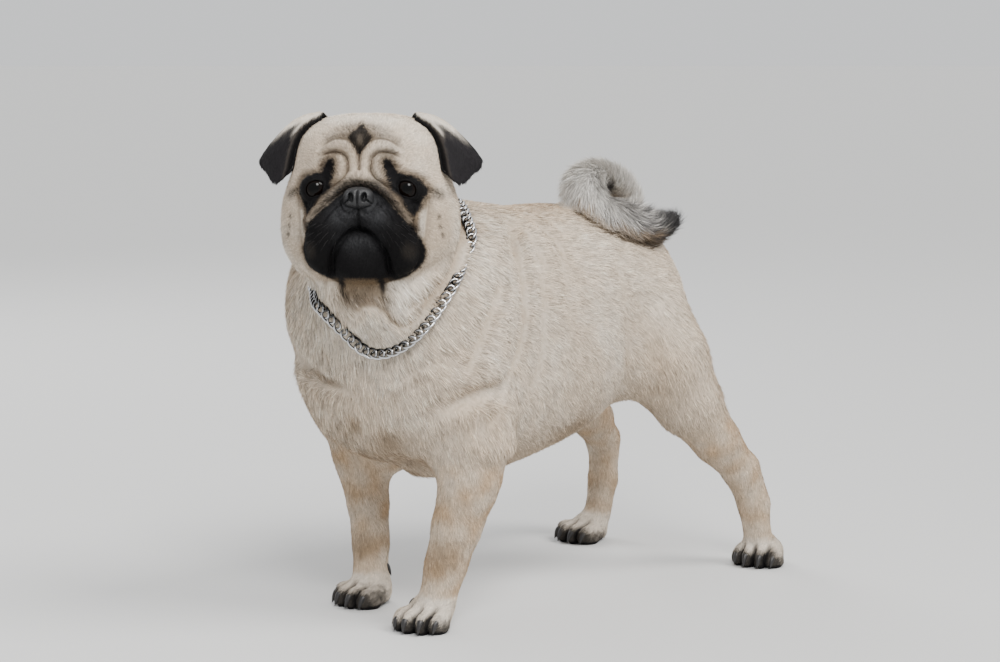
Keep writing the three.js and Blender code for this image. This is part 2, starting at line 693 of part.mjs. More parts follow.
// Collar: a closed chain of linked rings that lies round the neck, high on the nape and low on the chest
const CHAIN = {
  centre: V(8, -168, 262),
  links: 37,
  ring: 4.2,
  wire: 1.2,
  stretch: 1.5,
  lift: 5.8,
  tilt: degrees(32),
};
const CHAIN_WAY = [
  V(10, -126, 316),
  V(33, -127, 319),
  V(48, -133, 317),
  V(61, -142, 308),
  V(71, -147, 298),
  V(78, -158, 287),
  V(83, -171, 277),
  V(86, -186, 263),
  V(85, -199, 247),
  V(77, -210, 232),
  V(64, -218, 221),
  V(46, -225.5, 215),
  V(27, -231, 220),
  V(20.5, -241.5, 231),
  V(19, -250, 239),
  V(9, -250, 248),
  V(-9, -243, 255),
  V(-28, -230, 262),
  V(-47, -210, 272),
  V(-62, -181, 290),
  V(-55, -150, 309),
  V(-24, -130, 318),
];
const chainPoint = (way) => {
  const direction = way.clone().sub(CHAIN.centre).normalize();
  return CHAIN.centre.clone()
    .addScaledVector(direction, reachOf(bodyField, CHAIN.centre, direction, 220) + CHAIN.lift);
};
const chainCurve = new THREE.CatmullRomCurve3(
  new THREE.CatmullRomCurve3(CHAIN_WAY, true).getSpacedPoints(48).slice(0, 48).map(chainPoint),
  true,
);
const link = (i) => {
  const t = i / CHAIN.links;
  const at = chainCurve.getPointAt(t);
  const tangent = chainCurve.getTangentAt(t);
  const out = at.clone().sub(CHAIN.centre);
  out.addScaledVector(tangent, -out.dot(tangent)).normalize();
  const across = V(0, 0, 0).crossVectors(out, tangent);
  const ring = new THREE.TorusGeometry(CHAIN.ring, CHAIN.wire, 3, 7);
  ring.scale(CHAIN.stretch, 1, 1);
  ring.rotateX(i % 2 ? CHAIN.tilt : -CHAIN.tilt);
  ring.applyMatrix4(new THREE.Matrix4().makeBasis(tangent, across, out).setPosition(at));
  return solidOf(ring);
};
let chain = link(0);
for (let i = 1; i < CHAIN.links; i++) chain = chain.add(link(i));
addPart("collar_chain", chain, finish(0xb9bcc0, 0.25, 1));

// The origin is the middle of the base of the box that holds the whole animal
const box = new THREE.Box3().setFromObject(dog);
const middle = box.getCenter(V(0, 0, 0));
dog.position.set(-middle.x, -middle.y, 0);

export default dog;
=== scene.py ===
"""A life-size pug that stands with its head turned to its left.

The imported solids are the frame. One skin is fused from the solids of flesh, drawn in by the depth of
the coat and carved with the folds of the face and body. Short hairs, each a thin solid spike, lie over
it along the lie of the coat. Eyes, nose, ears, claws, whiskers and the chain collar are pieces of
their own. Lengths in the body's and the head's own frames are in millimetres, as named below.
"""

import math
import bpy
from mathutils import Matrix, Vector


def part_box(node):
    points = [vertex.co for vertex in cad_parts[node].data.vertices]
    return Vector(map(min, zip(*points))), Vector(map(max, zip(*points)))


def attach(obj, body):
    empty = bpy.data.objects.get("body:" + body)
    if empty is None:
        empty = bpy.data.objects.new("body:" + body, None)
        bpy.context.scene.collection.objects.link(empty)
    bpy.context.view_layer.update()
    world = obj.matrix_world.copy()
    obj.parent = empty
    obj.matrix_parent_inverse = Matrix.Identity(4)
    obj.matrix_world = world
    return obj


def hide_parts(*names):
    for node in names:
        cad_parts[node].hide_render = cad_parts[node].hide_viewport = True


bl_info = {
    "name": "Standing pug",
    "version": (1, 0, 0),
    "blender": (4, 5, 0),
    "location": "View3D > Sidebar > Pug",
    "description": "Dresses a standing pug with skin, coat, eyes, nose, ears, claws and a chain collar",
    "category": "Object",
}

import bmesh
import bpy
import numpy as np
from mathutils import Vector
from mathutils.bvhtree import BVHTree

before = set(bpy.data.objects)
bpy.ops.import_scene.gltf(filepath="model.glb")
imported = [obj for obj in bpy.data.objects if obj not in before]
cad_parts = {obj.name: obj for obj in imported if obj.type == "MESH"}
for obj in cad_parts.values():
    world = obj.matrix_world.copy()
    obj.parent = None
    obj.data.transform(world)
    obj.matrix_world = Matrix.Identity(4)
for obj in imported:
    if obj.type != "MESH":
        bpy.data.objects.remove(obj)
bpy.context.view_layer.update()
MM = 0.001
SIDES = {"left": 1, "right": -1}
FEET = ("front_left", "front_right", "hind_left", "hind_right")
FLESH = (
    ["head", "neck", "torso", "tail_root", "tail_curl"]
    + [f"{part}_{side}" for side in SIDES for part in ("upper_arm", "forearm", "forepaw")]
    + [f"{part}_{side}" for side in SIDES for part in ("thigh", "shank", "hindpaw")]
)
PAW_OF = {foot: ("forepaw_" if "front" in foot else "hindpaw_") + foot.split("_")[1] for foot in FEET}
RANDOM = np.random.default_rng(11)


# Vectors and soft steps

def unit(v):
    v = np.asarray(v, float)
    return v / np.maximum(np.linalg.norm(v, axis=-1, keepdims=True), 1e-12)


def rows_dot(a, b):
    return np.einsum("ij,ij->i", a, b)


def step(low, high, x):
    """0 below low and 1 above high, with a soft rise between them; low may be above high."""
    t = np.clip((np.asarray(x, float) - low) / (high - low), 0, 1)
    return t * t * (3 - 2 * t)


def mix(a, b, t):
    """A blend from a to b, for single numbers or for rows of colours."""
    t = np.asarray(t, float)
    if np.ndim(a) == 2 or np.ndim(b) == 2:
        t = t[:, None]
    return a + (b - a) * t


def wash(colours, colour, strength):
    """Lays a colour over others with a strength that is kept from 0 to 1."""
    return mix(colours, colour, np.clip(strength, 0, 1))


def ripple(points, size, seed):
    """Smooth noise from -1 to 1 with waves about size long, as a sum of turned sines."""
    draw = np.random.default_rng(seed)
    total = np.zeros(len(points))
    for _ in range(9):
        way = unit(draw.normal(size=3)) * (2 * math.pi / size) * draw.uniform(0.7, 1.5)
        total += np.sin(points @ way + draw.uniform(0, 2 * math.pi))
    return np.clip(total / 4.5, -1, 1)


def spline(points, count):
    """count points along a smooth open curve through the given ones."""
    points = np.asarray(points, float)
    padded = np.vstack([2 * points[0] - points[1], points, 2 * points[-1] - points[-2]])
    out = []
    for t in np.linspace(0, len(points) - 1 - 1e-9, count):
        i = int(t)
        f = t - i
        a, b, c, d = padded[i:i + 4]
        out.append(0.5 * (2 * b + (c - a) * f + (2 * a - 5 * b + 4 * c - d) * f * f
                          + (3 * b - a - 3 * c + d) * f ** 3))
    return np.array(out)


def distance_to_path(points, path):
    """Each point's distance to a chain of straight lengths, in any number of dimensions."""
    least = np.full(len(points), 1e9)
    for a, b in zip(path[:-1], path[1:]):
        along = b - a
        t = np.clip((points - a) @ along / max(along @ along, 1e-12), 0, 1)
        least = np.minimum(least, np.linalg.norm(points - a - t[:, None] * along, axis=1))
    return least


# The frames of the head and of the body, read from the solids

def node_points(name):
    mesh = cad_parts[name].data
    points = np.empty(len(mesh.vertices) * 3, np.float32)
    mesh.vertices.foreach_get("co", points)
    return points.reshape(-1, 3).astype(float)


def node_centre(name):
    low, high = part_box(name)
    return np.array((low + high) / 2)


EYE_AT = np.array((33.5, -40.5, 6.5))  # the left eye in the head's frame: nose towards -Y
NOSE_AT = np.array((0, -60.0, 0))
HEAD_IN_BODY = np.array((20.0, -206.0, 327.0))
EYE_RADIUS = 10.5
# The opening of the lids about the eyeball's middle: half width, height up and down, middle and slant
LIDS_WIDE, LIDS_UP, LIDS_DOWN = 7.9, 7.0, 7.4
LIDS_OUT, LIDS_LOW, LIDS_SLANT = 0.6, 0.5, 0.06


def head_frame():
    """The head's origin and its three axes as rows."""
    left, right, nose = (node_centre(name) for name in ("eye_left", "eye_right", "nose"))
    across = unit(left - right)
    middle = (left + right) / 2
    reach = nose - middle
    reach = unit(reach - across * (reach @ across))
    turned = np.cross(across, reach)
    step_out = unit(NOSE_AT - EYE_AT * (0, 1, 1))
    back = step_out[1] * reach - step_out[2] * turned
    up = step_out[2] * reach + step_out[1] * turned
    origin = middle - MM * (EYE_AT[1] * back + EYE_AT[2] * up)
    return origin, np.array([across, back, up])


HEAD_ORIGIN, HEAD_AXES = head_frame()
BODY_ORIGIN = HEAD_ORIGIN - HEAD_IN_BODY * MM


def in_head(points):
    """Places in the head's frame: left, back and up from between the eyes' height and the nose."""
    return (points - HEAD_ORIGIN) @ HEAD_AXES.T / MM


def from_head(points):
    return HEAD_ORIGIN + np.asarray(points, float) * MM @ HEAD_AXES


def in_body(points):
    return (points - BODY_ORIGIN) / MM


def from_body(points):
    return BODY_ORIGIN + np.asarray(points, float) * MM


# Measured forms, in millimetres. Their points were listed along each fold in the photograph and placed on
# the solids by the camera's view. Face paths are (x, z) across the face and are mirrored.

BROW_SHIFT = 1.6  # the forehead's middle lies this far to the dog's right
FOLDS = [
    # rise, half width, painted shade in the crease, half width of that shade, path
    (2.2, 4.4, 0, 1, [(0, 12.6), (10, 11), (19, 5.6), (26.2, -0.3), (32.7, -8), (36.4, -16)]),
    (-2.2, 1.7, 0, 1, [(0, 7.5), (10.2, 5.2), (18.2, -0.4), (26.6, -8.4), (33.6, -15.4), (38.2, -22)]),
    (-3.0, 1.5, 0.9, 1.15, [(31.5, 28), (26.5, 31.1), (20, 33), (13.8, 32.2), (9.3, 28.5), (8.2, 23),
                            (8.8, 18), (12.5, 13), (17, 9.9), (22, 5.9), (28.6, -0.1), (35.6, -9),
                            (38.5, -14)]),
    (-2.4, 1.8, 0.62, 1.5, [(0, 32.5), (2.9, 37), (6.8, 40.8), (11.8, 42.6), (18.2, 42.6), (25, 39.8),
                            (29.8, 35.8), (32.3, 31.5)]),
    (-2.1, 1.3, 0.85, 1.1, [(0.2, 36), (0, 27), (0.3, 20.5)]),
    (-1.5, 2.4, 0.25, 2.6, [(0, 51), (7.3, 50), (13.8, 49.1), (20, 46), (27.3, 40.5), (32, 34.5)]),
    (1.5, 3.4, 0, 1, [(3.8, 24), (4.6, 31), (9, 37.2), (16, 38), (24, 35.8), (30, 32)]),
    (1.9, 4.2, 0, 1, [(14, 19), (15, 25.5), (21.5, 27.6), (28, 25.5)]),
    (1.2, 3.2, 0, 1, [(6, 45.7), (14, 46), (22, 43.4)]),
    (-1.3, 1.4, 0.5, 1.4, [(24, 22.4), (30, 21.8), (37, 19.4), (43, 15)]),
    (-1.0, 1.5, 0.3, 1.5, [(47.5, 6), (52, 4.6), (57.5, 2.5)]),
    (-1.2, 1.2, 0, 1, [(24, -2.6), (29.5, -5.6), (35, -6), (40, -3.6)]),
    (-4.0, 1.7, 0, 1, [(0, -22.4), (4, -23.2), (8, -26), (13.6, -32.3), (18.6, -40), (20.4, -47),
                       (21.4, -55)]),
    (-2.2, 1.0, 0, 1, [(0, -7), (0, -22.4)]),
    (3.2, 8.5, 0, 1, [(13, -14), (24, -21), (31, -32), (33, -44)]),
    (-1.6, 1.2, 0, 1, [(2.5, -9.5), (6, -11.5), (10.5, -10), (14, -5)]),
    (-1.4, 1.4, 0, 1, [(13, -6), (19, -10), (24, -17)]),
    (1.0, 2.0, 0, 1, [(3, -13), (6.5, -14.5), (11, -13.5)]),
    (1.3, 4.5, 0, 1, [(0, -29), (6, -31), (10, -36)]),
    (-1.0, 7.5, 0, 1, [(0, -40), (0, -52)]),
    (-1.7, 1.7, 0.5, 1.3, [(48.3, -0.5), (47.2, -12.5), (46, -26), (45, -33), (43.8, -40.5), (40, -51)]),
    (-1.2, 1.2, 0.85, 1.2, [(41, -5), (39.6, -12), (38.8, -18), (39.8, -23)]),
    (-1.8, 2.0, 0, 1, [(40.9, -23), (43.1, -31), (44.6, -38), (42.6, -46.5), (37.2, -53.5), (29, -58.5)]),
]
MASK_OUTLINE = [(-3, 8.5), (10.2, 6.2), (18.2, 0.4), (26.6, -7.6), (33.6, -14.8), (39, -20), (43.2, -30.5),
                (45.4, -38), (43.8, -45.5), (39, -51.5), (31.5, -57), (19.4, -61.6), (-3, -63.5)]
MASK_SHIFT = 0.9  # the chin's middle lies this far to the dog's left
EYE_PATCH = [(16.5, 25), (17.8, 28.8), (22.5, 28.4), (25.5, 23.5), (28, 18.8), (33, 18), (39, 16.4), (44, 13),
             (48, 7.2), (47.2, 2.5), (44.5, -2), (42, -8.6), (39, -14), (35.8, -11), (28.6, -0.8),
             (21.3, 5.6), (18.8, 12.5), (17.2, 19)]
UPPER_BAND = [(0, 49), (9, 48.5), (17, 46.5), (26, 40)]
BODY_FOLDS = [
    # rise, half width, painted shade in the crease, on both sides, path
    (-4.2, 5.0, 0.45, True, [(50, -93, 300), (78, -105, 276), (88, -109, 248), (90, -115, 215),
                             (97, -136, 191), (103, -158, 166)]),
    (2.6, 9.0, 0, True, [(52, -112, 300), (80, -128, 272), (92, -136, 240), (96, -148, 205)]),
    (2.2, 8.0, 0, True, [(62, -72, 294), (77, -69, 274), (87, -72, 246), (89, -72, 211), (86, -74, 180)]),
    (-1.9, 5.0, 0.3, True, [(78, -86, 278), (88, -89, 250), (90, -91, 214), (88, -98, 184)]),
    (1.3, 4.0, 0, False, [(52.7, -104.5, 305.6), (60.2, -92.5, 293.1), (74, -92.6, 280.8),
                          (79.9, -92.1, 269.7)]),
    (-1.4, 3.2, 0.35, False, [(45, -88, 308), (58, -82, 297), (70, -80, 285), (77, -79, 273)]),
    (1.3, 4.0, 0, False, [(39.9, -74.5, 308.8), (55.8, -71, 299.4), (66.9, -65.8, 288),
                          (76.6, -64.9, 273.8)]),
    (-1.3, 3.2, 0.35, False, [(36, -60, 309.5), (51, -57, 302), (63, -53, 291), (71, -51, 280)]),
    (1.1, 4.0, 0, False, [(31.8, -47.8, 309.5), (45.4, -46.2, 303.8), (57.8, -43.4, 294.8),
                          (64.4, -39.1, 288.7)]),
    (-2.8, 5.0, 0.3, True, [(86, -136, 262), (93, -155, 241), (93, -166, 222), (90, -176, 206)]),
    (-2.2, 7.0, 0.2, True, [(78, 9, 263), (83, 13, 239), (82, 18, 206), (70, 26, 168)]),
    (-2.4, 8.0, 0.2, True, [(79, 34, 236), (85, 45, 196), (80, 56, 160)]),
    (-3.6, 4.0, 0.6, False, [(52.2, -139.8, 308.9), (63.9, -151.6, 298.9), (71.6, -162.5, 288.8),
                             (76.6, -173.8, 278.7), (78.6, -185.2, 269.2), (77.5, -196.5, 261.1),
                             (74, -207.4, 254.3), (70.1, -213.8, 250.1)]),
    (3.4, 6.0, 0, False, [(66, -141, 299), (77, -155, 290), (82, -168, 279), (84, -182, 268),
                          (82, -195, 257)]),
    (-3.6, 3.6, 0.75, False, [(41.4, -240.8, 247.1), (46.3, -239.4, 251.1), (52.2, -234.9, 251.1),
                              (56.9, -229.4, 248.9), (60.4, -222.7, 239.1), (64, -218.1, 236),
                              (68, -213.9, 236.7), (72.2, -209.8, 241.9), (75.7, -205, 249.1),
                              (78.5, -191.3, 265.2)]),
    (-2.4, 3.2, 0.5, False, [(-3.4, -255.3, 276.7), (-4.7, -246.5, 268.6), (-7.7, -238, 260.3)]),
    (-2.8, 3.2, 0.65, False, [(10.5, -248.3, 255), (15.3, -246.8, 247.8), (22.4, -245.3, 242.3),
                              (28.3, -241.8, 239.6), (35.5, -241.5, 241.6)]),
    (-1.3, 4.0, 0.12, False, [(-15.1, -224.1, 208.1), (-7.1, -223.2, 198.9), (-0.9, -222, 190.2),
                              (13.5, -220, 180.9)]),
    (-1.2, 4.0, 0.1, False, [(57.7, -212.4, 195), (66, -208.1, 202.1), (74.2, -203.7, 206.1),
                             (79.7, -196.8, 208.9)]),
    (-1.6, 4.0, 0.15, False, [(-55.8, -206.6, 192.7), (-41.5, -213.1, 186.9), (-28.7, -218.4, 178),
                              (-22.5, -216.9, 166.1), (-16.2, -215.6, 159)]),
]
# Each smudge of warmer hair: middle, reach and strength
SMUDGES = [(8.8, -216, 158, 9, 0.7), (36, -207, 147, 15, 0.5), (-5, -213, 150, 9, 0.4),
           (59, -30, 136, 20, 0.6), (64, -176, 58, 15, 0.6), (-46, -157, 48, 13, 0.6),
           (60, -10, 140, 16, 0.5)]
MOLES = [(54.6, -13.6), (55.4, -20.6), (56.8, -26.6)]  # dark spots of the cheeks, in the face's plane
# The line on the back under the tail's curl, painted dark as the tail's shadow
TAIL_CREASE = [(37.8, 4.2, 306.4), (49.2, 6, 300.4), (57.4, 14.9, 294), (60, 30.2, 288.4),
               (61.3, 47.1, 283.5), (56.7, 71.3, 278.6)]
CHAIN_LINKS = 72
CHAIN_STEPS = 2400  # points along the chain's line before its links are spaced
LINK_TWIST = 0.8  # turn of each link about the chain, in radians
# Middles and reaches of the folds that cover the chain
CHAIN_HIDDEN = [(78, -160, 286, 15), (-38, -217, 269, 31)]
DEWCLAWS = {"front_left": ((-0.85, -0.5, 0), 27), "front_right": ((0.72, 0.69, 0), 31)}  # way out, height
WHISKERS = 16  # on each side
HAIRS_A_PIECE = 48000
EAR_HAIRS = 14000
# Each hair is painted darker at its root, as painted shade deep in the coat, and lighter at its tip, as
# painted light
ROOT_PAINTED_SHADE, TIP_PAINTED_LIGHT = 0.7, 1.24
HAIR_PATCH = 0.0015  # half the width of a hair's patch on its unwrap

# Colours that only the markings and the painted shade and sheen use
DUSK = np.array((0.075, 0.072, 0.075))
SILVER = np.array((0.66, 0.65, 0.625))
MUZZLE_SHEEN = np.array((0.019, 0.019, 0.0205))
EYE_WHITE = (0.016, 0.012, 0.01)
EYE_RIM = np.array((0.004, 0.003, 0.003))
PUPIL = np.array((0.001, 0.001, 0.001))

# The stage: lengths in metres, but for the camera's place in the body's frame
FLOOR_REACH, FLOOR_SIDES = 60, 96
CAMERA_AT = (1306.8, -1399.9, 437.0)
CAMERA_DOWN, CAMERA_ROUND = 6.811, 44  # degrees
SUN_FROM = (1.85, 0.67, 2.2)
# Each lamp: place, size, power and colour
LAMPS = {
    "back": ((-2.0, 0.4, 1.7), 1.2, 26, (1.0, 1.0, 1.0)),
    "front": ((1.0, -0.8, 1.35), 0.5, 24, (1.0, 0.99, 0.97)),
}


# Settings that a user would change

def colour_property(name, description, default):
    return bpy.props.FloatVectorProperty(
        name=name, description=description, default=default, subtype="COLOR", size=3, min=0, max=1)


def length_property(name, description, default):
    return bpy.props.FloatProperty(
        name=name, description=description, default=default, min=0, subtype="DISTANCE", unit="LENGTH")


class PugCoatSettings(bpy.types.PropertyGroup):
    skin_voxel: length_property("Skin detail", "Voxel that the skin is fused with", 0.0022)
    body_hair: length_property("Body hair", "Length of the hair on the trunk", 0.0085)
    neck_hair: length_property("Neck hair", "Length of the hair on the neck and chest", 0.0095)
    leg_hair: length_property("Leg hair", "Length of the hair on the lower legs", 0.0052)
    face_hair: length_property("Face hair", "Length of the hair on the forehead", 0.0027)
    tail_hair: length_property("Tail hair", "Length of the hair on the tail", 0.0125)
    hairs: bpy.props.IntProperty(
        name="Hairs", description="Hairs on the whole skin, besides the ears", default=324000,
        min=1000, max=325000)
    fawn: colour_property("Fawn", "Main colour of the coat", (0.565, 0.47, 0.37))
    # Darkened, the apricot also gives the painted shade in the folds, on the underside, under the chin and
    # about the tail
    apricot: colour_property(
        "Apricot", "Warmer colour in folds, on the loin and the wrists", (0.44, 0.30, 0.175))
    pale: colour_property("Pale", "Colour of the chest, throat and underparts", (0.73, 0.665, 0.575))
    mask: colour_property("Mask", "Colour of the muzzle, eye patches and ears", (0.0042, 0.0038, 0.0042))


class PugHeadSettings(bpy.types.PropertyGroup):
    lid: length_property("Lid rim", "Half thickness of the rim of the eyelids", 0.0006)
    iris: colour_property("Iris", "Colour of the iris", (0.0035, 0.0018, 0.0012))
    nose: colour_property("Nose", "Colour of the nose leather", (0.008, 0.008, 0.009))
    horn: colour_property("Claws", "Colour of the claws", (0.009, 0.008, 0.008))


class PugCollarSettings(bpy.types.PropertyGroup):
    wire: length_property("Wire", "Half thickness of the wire of a link", 0.00095)
    link_width: length_property("Link width", "Half width of a link", 0.0037)
    steel: colour_property("Steel", "Colour of the chain", (0.78, 0.78, 0.79))


class PugStageSettings(bpy.types.PropertyGroup):
    floor: colour_property("Floor", "Colour of the floor", (0.598, 0.598, 0.594))
    focal_length: bpy.props.FloatProperty(
        name="Focal length", description="Focal length of the camera", default=85, min=1, unit="CAMERA")


def settings(group):
    return getattr(bpy.context.scene, group)


# Mesh building from arrays

def mesh_from_arrays(name, vertices, faces, smooth=True):
    """A mesh from an array of points and an array of triangles or quads."""
    vertices = np.ascontiguousarray(vertices, np.float32)
    faces = np.ascontiguousarray(faces, np.int32)
    mesh = bpy.data.meshes.new(name)
    mesh.vertices.add(len(vertices))
    mesh.vertices.foreach_set("co", vertices.ravel())
    mesh.loops.add(faces.size)
    mesh.loops.foreach_set("vertex_index", faces.ravel())
    mesh.polygons.add(len(faces))
    mesh.polygons.foreach_set("loop_start", np.arange(len(faces), dtype=np.int32) * faces.shape[1])
    mesh.polygons.foreach_set("use_smooth", np.full(len(faces), smooth))
    mesh.update(calc_edges=True)
    return mesh


def smooth_faces(mesh):
    mesh.polygons.foreach_set("use_smooth", np.full(len(mesh.polygons), True))


def piece(name, mesh, material):
    """A piece of the scene, riding on the body."""
    obj = bpy.data.objects.new(name, mesh)
    bpy.context.scene.collection.objects.link(obj)
    mesh.materials.clear()
    mesh.materials.append(material)
    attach(obj, "root")
    return obj


def paint(mesh, layer, colours):
    """Writes a colour for each point of a mesh."""
    attribute = mesh.color_attributes.new(layer, "FLOAT_COLOR", "POINT")
    rgba = np.ones((len(colours), 4), np.float32)
    rgba[:, :3] = colours
    attribute.data.foreach_set("color", rgba.ravel())


def tube(path, radii, around, closed=False):
    """Points and quads of a tube along a path, with flat ends where it is open."""
    path = np.asarray(path, float)
    radii = np.broadcast_to(radii, len(path))
    tangents = unit(np.roll(path, -1, 0) - np.roll(path, 1, 0)) if closed else unit(np.gradient(path, axis=0))
    side = unit(np.cross(tangents[0], (0.3, 0.2, 1)))
    rings = []
    for p, t, r in zip(path, tangents, radii):
        side = unit(side - t * (side @ t))
        up = np.cross(t, side)
        angles = np.linspace(0, 2 * math.pi, around, endpoint=False)
        rings.append(p + r * (np.cos(angles)[:, None] * side + np.sin(angles)[:, None] * up))
    index = np.arange(len(path) * around).reshape(-1, around)
    after = np.roll(index, -1, 0)
    if not closed:
        index, after = index[:-1], after[:-1]
    quads = np.stack([index, np.roll(index, -1, 1), np.roll(after, -1, 1), after], -1).reshape(-1, 4)
    return np.vstack(rings), quads


class Tubes:
    """Several tubes gathered into one mesh."""

    def __init__(self):
        self.points, self.quads, self.count = [], [], 0

    def add(self, path, radii, around, closed=False):
        points, quads = tube(path, radii, around, closed)
        self.points.append(points)
        self.quads.append(quads + self.count)
        self.count += len(points)
        return points

    def mesh(self, name):
        return mesh_from_arrays(name, np.vstack(self.points), np.vstack(self.quads))


def ball_grid(around, down):
    """The angles from the pole and about it of a ball's points, ring by ring, and its quads."""
    polar = np.linspace(0, math.pi, down + 1)
    angle = np.linspace(0, 2 * math.pi, around, endpoint=False)
    p, a = np.meshgrid(polar, angle, indexing="ij")
    index = np.arange((down + 1) * around).reshape(down + 1, around)
    beside = np.roll(index, -1, 1)
    return p, a, np.stack([index[:-1], index[1:], beside[1:], beside[:-1]], -1).reshape(-1, 4)


class Surface:
    """A mesh as arrays, with what hair and folds need: normals, neighbours and masks."""

    def __init__(self, mesh):
        mesh.calc_loop_triangles()
        self.points = np.empty(len(mesh.vertices) * 3, np.float32)
        mesh.vertices.foreach_get("co", self.points)
        self.points = self.points.reshape(-1, 3).astype(float)
        edges = np.empty(len(mesh.edges) * 2, np.int32)
        mesh.edges.foreach_get("vertices", edges)
        self.edges = edges.reshape(-1, 2)
        triangles = np.empty(len(mesh.loop_triangles) * 3, np.int32)
        mesh.loop_triangles.foreach_get("vertices", triangles)
        self.triangles = triangles.reshape(-1, 3)
        count = len(self.points)
        self.degree = np.maximum(np.bincount(self.edges.ravel(), minlength=count), 1)
        self.find_normals()

    def find_normals(self):
        a, b, c = (self.points[self.triangles[:, i]] for i in range(3))
        facing = np.cross(b - a, c - a)
        normals = np.zeros_like(self.points)
        for corner in range(3):
            for axis in range(3):
                normals[:, axis] += np.bincount(
                    self.triangles[:, corner], facing[:, axis], minlength=len(self.points))
        self.normals = unit(normals)

    def around(self, values):
        """The mean of each point's neighbours."""
        flat = values.reshape(len(self.points), -1)
        out = np.empty_like(flat, dtype=float)
        a, b = self.edges.T
        for i in range(flat.shape[1]):
            total = np.bincount(a, flat[b, i], minlength=len(flat))
            total += np.bincount(b, flat[a, i], minlength=len(flat))
            out[:, i] = total / self.degree
        return out.reshape(values.shape)

    def smoothed(self, values, rounds, amount=0.6):
        for _ in range(rounds):
            near = self.around(values)
            weight = amount if np.isscalar(amount) or values.ndim == 1 else amount[:, None]
            values = values + (near - values) * weight
        return values

    def relax(self, rounds, amount, fill=0):
        """Smooths the points and gives back the lost volume; hollows stay filled where fill is 1."""
        before = self.points
        after = self.smoothed(before, rounds, amount)
        self.points = after
        self.find_normals()
        lost = rows_dot(before - after, self.normals)
        lost = self.smoothed(np.where(lost < 0, lost * (1 - fill), lost), rounds // 2 + 4, 0.6)
        self.points = after + self.normals * lost[:, None]
        self.find_normals()

    def write(self, mesh):
        mesh.vertices.foreach_set("co", np.ascontiguousarray(self.points, np.float32).ravel())
        mesh.update()


# Skin

def fuse(nodes, swell, voxel):
    """One closed mesh from copies of some nodes, each swollen to close the gaps between them."""
    joined = bmesh.new()
    for name in nodes:
        part = bmesh.new()
        part.from_mesh(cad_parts[name].data)
        bmesh.ops.remove_doubles(part, verts=part.verts, dist=2e-6)
        part.normal_update()
        for vertex in part.verts:
            vertex.co += vertex.normal * swell
        copy = bpy.data.meshes.new("copy")
        part.to_mesh(copy)
        part.free()
        joined.from_mesh(copy)
        bpy.data.meshes.remove(copy)
    mesh = bpy.data.meshes.new("fused")
    joined.to_mesh(mesh)
    joined.free()
    holder = bpy.data.objects.new("fused", mesh)
    bpy.context.scene.collection.objects.link(holder)
    remesh = holder.modifiers.new("voxels", "REMESH")
    remesh.mode = "VOXEL"
    remesh.voxel_size = voxel
    remesh.adaptivity = 0
    bpy.context.view_layer.update()
    result = bpy.data.meshes.new_from_object(holder.evaluated_get(bpy.context.evaluated_depsgraph_get()))
    bpy.data.objects.remove(holder)
    bpy.data.meshes.remove(mesh)
    return result


def nearest_nodes(points, nodes):
    """For each point the index of the node whose solid lies nearest."""
    corners = []
    polygons = []
    owner = []
    for index, name in enumerate(nodes):
        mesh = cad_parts[name].data
        start = len(corners)
        corners += [vertex.co for vertex in mesh.vertices]
        polygons += [[start + i for i in polygon.vertices] for polygon in mesh.polygons]
        owner += [index] * len(mesh.polygons)
    tree = BVHTree.FromPolygons(corners, polygons)
    return np.array([owner[tree.find_nearest(Vector(p))[2]] for p in points])


def refine(mesh, chosen):
    """Halves the faces whose points are all chosen by a test on the array of points."""
    editing = bmesh.new()
    editing.from_mesh(mesh)
    editing.verts.ensure_lookup_table()
    within = chosen(np.array([vertex.co[:] for vertex in editing.verts]))
    edges = [edge for edge in editing.edges if within[edge.verts[0].index] and within[edge.verts[1].index]]
    bmesh.ops.subdivide_edges(editing, edges=edges, cuts=1, use_grid_fill=True)
    editing.to_mesh(mesh)
    editing.free()


def front_of_head(points):
    h = in_head(points)
    return (h[:, 1] < -20) & (np.abs(h[:, 0]) < 54) & (h[:, 2] > -64) & (h[:, 2] < 54)


def on_paws(points):
    return points[:, 2] < 0.026


def paw_frame(foot):
    """The middle of a paw on the ground, its way forward and its way to the left."""
    centre = node_centre(PAW_OF[foot])
    claws = np.mean([node_centre(f"claw_{foot}_{i}") for i in range(1, 5)], axis=0)
    forward = unit((claws - centre) * (1, 1, 0))
    return centre * (1, 1, 0), forward, np.cross((0, 0, 1), forward)


def face_height(h):
    """How squarely a point lies on the front of the head, from 0 to 1."""
    return step(-12, -26, h[:, 1])


def face_plane(h):
    """Places across the face as (distance from its middle, height); the brow's middle lies to the right."""
    return np.column_stack([np.abs(h[:, 0] + BROW_SHIFT * step(4, 24, h[:, 2])), h[:, 2]])


def fold_fade(face):
    """The folds of the forehead run out towards the temples."""
    return 1 - step(24, 33, face[:, 0]) * step(14, 20, face[:, 1])


def painted_fold_shade(face):
    """How dark the creases of the face are painted, as painted shade."""
    crease_shade = np.zeros(len(face))
    for _, _, dark, width, path in FOLDS:
        if dark:
            d = distance_to_path(face, spline(path, 20)) / width
            crease_shade = np.maximum(crease_shade, np.maximum(dark * np.exp(-d * d), 0.42 * dark * np.exp(-(d / 3) ** 2)))
    return crease_shade * fold_fade(face)


def toe_lines(foot):
    """The frame of a paw, and how far across it the gaps and the middles of the toes lie, in millimetres."""
    centre, forward, left = paw_frame(foot)
    across = sorted((node_centre(f"claw_{foot}_{i}") - centre) @ left / MM for i in range(1, 5))
    gaps = [(a + b) / 2 for a, b in zip(across[:-1], across[1:])]
    return centre, forward, left, gaps, across


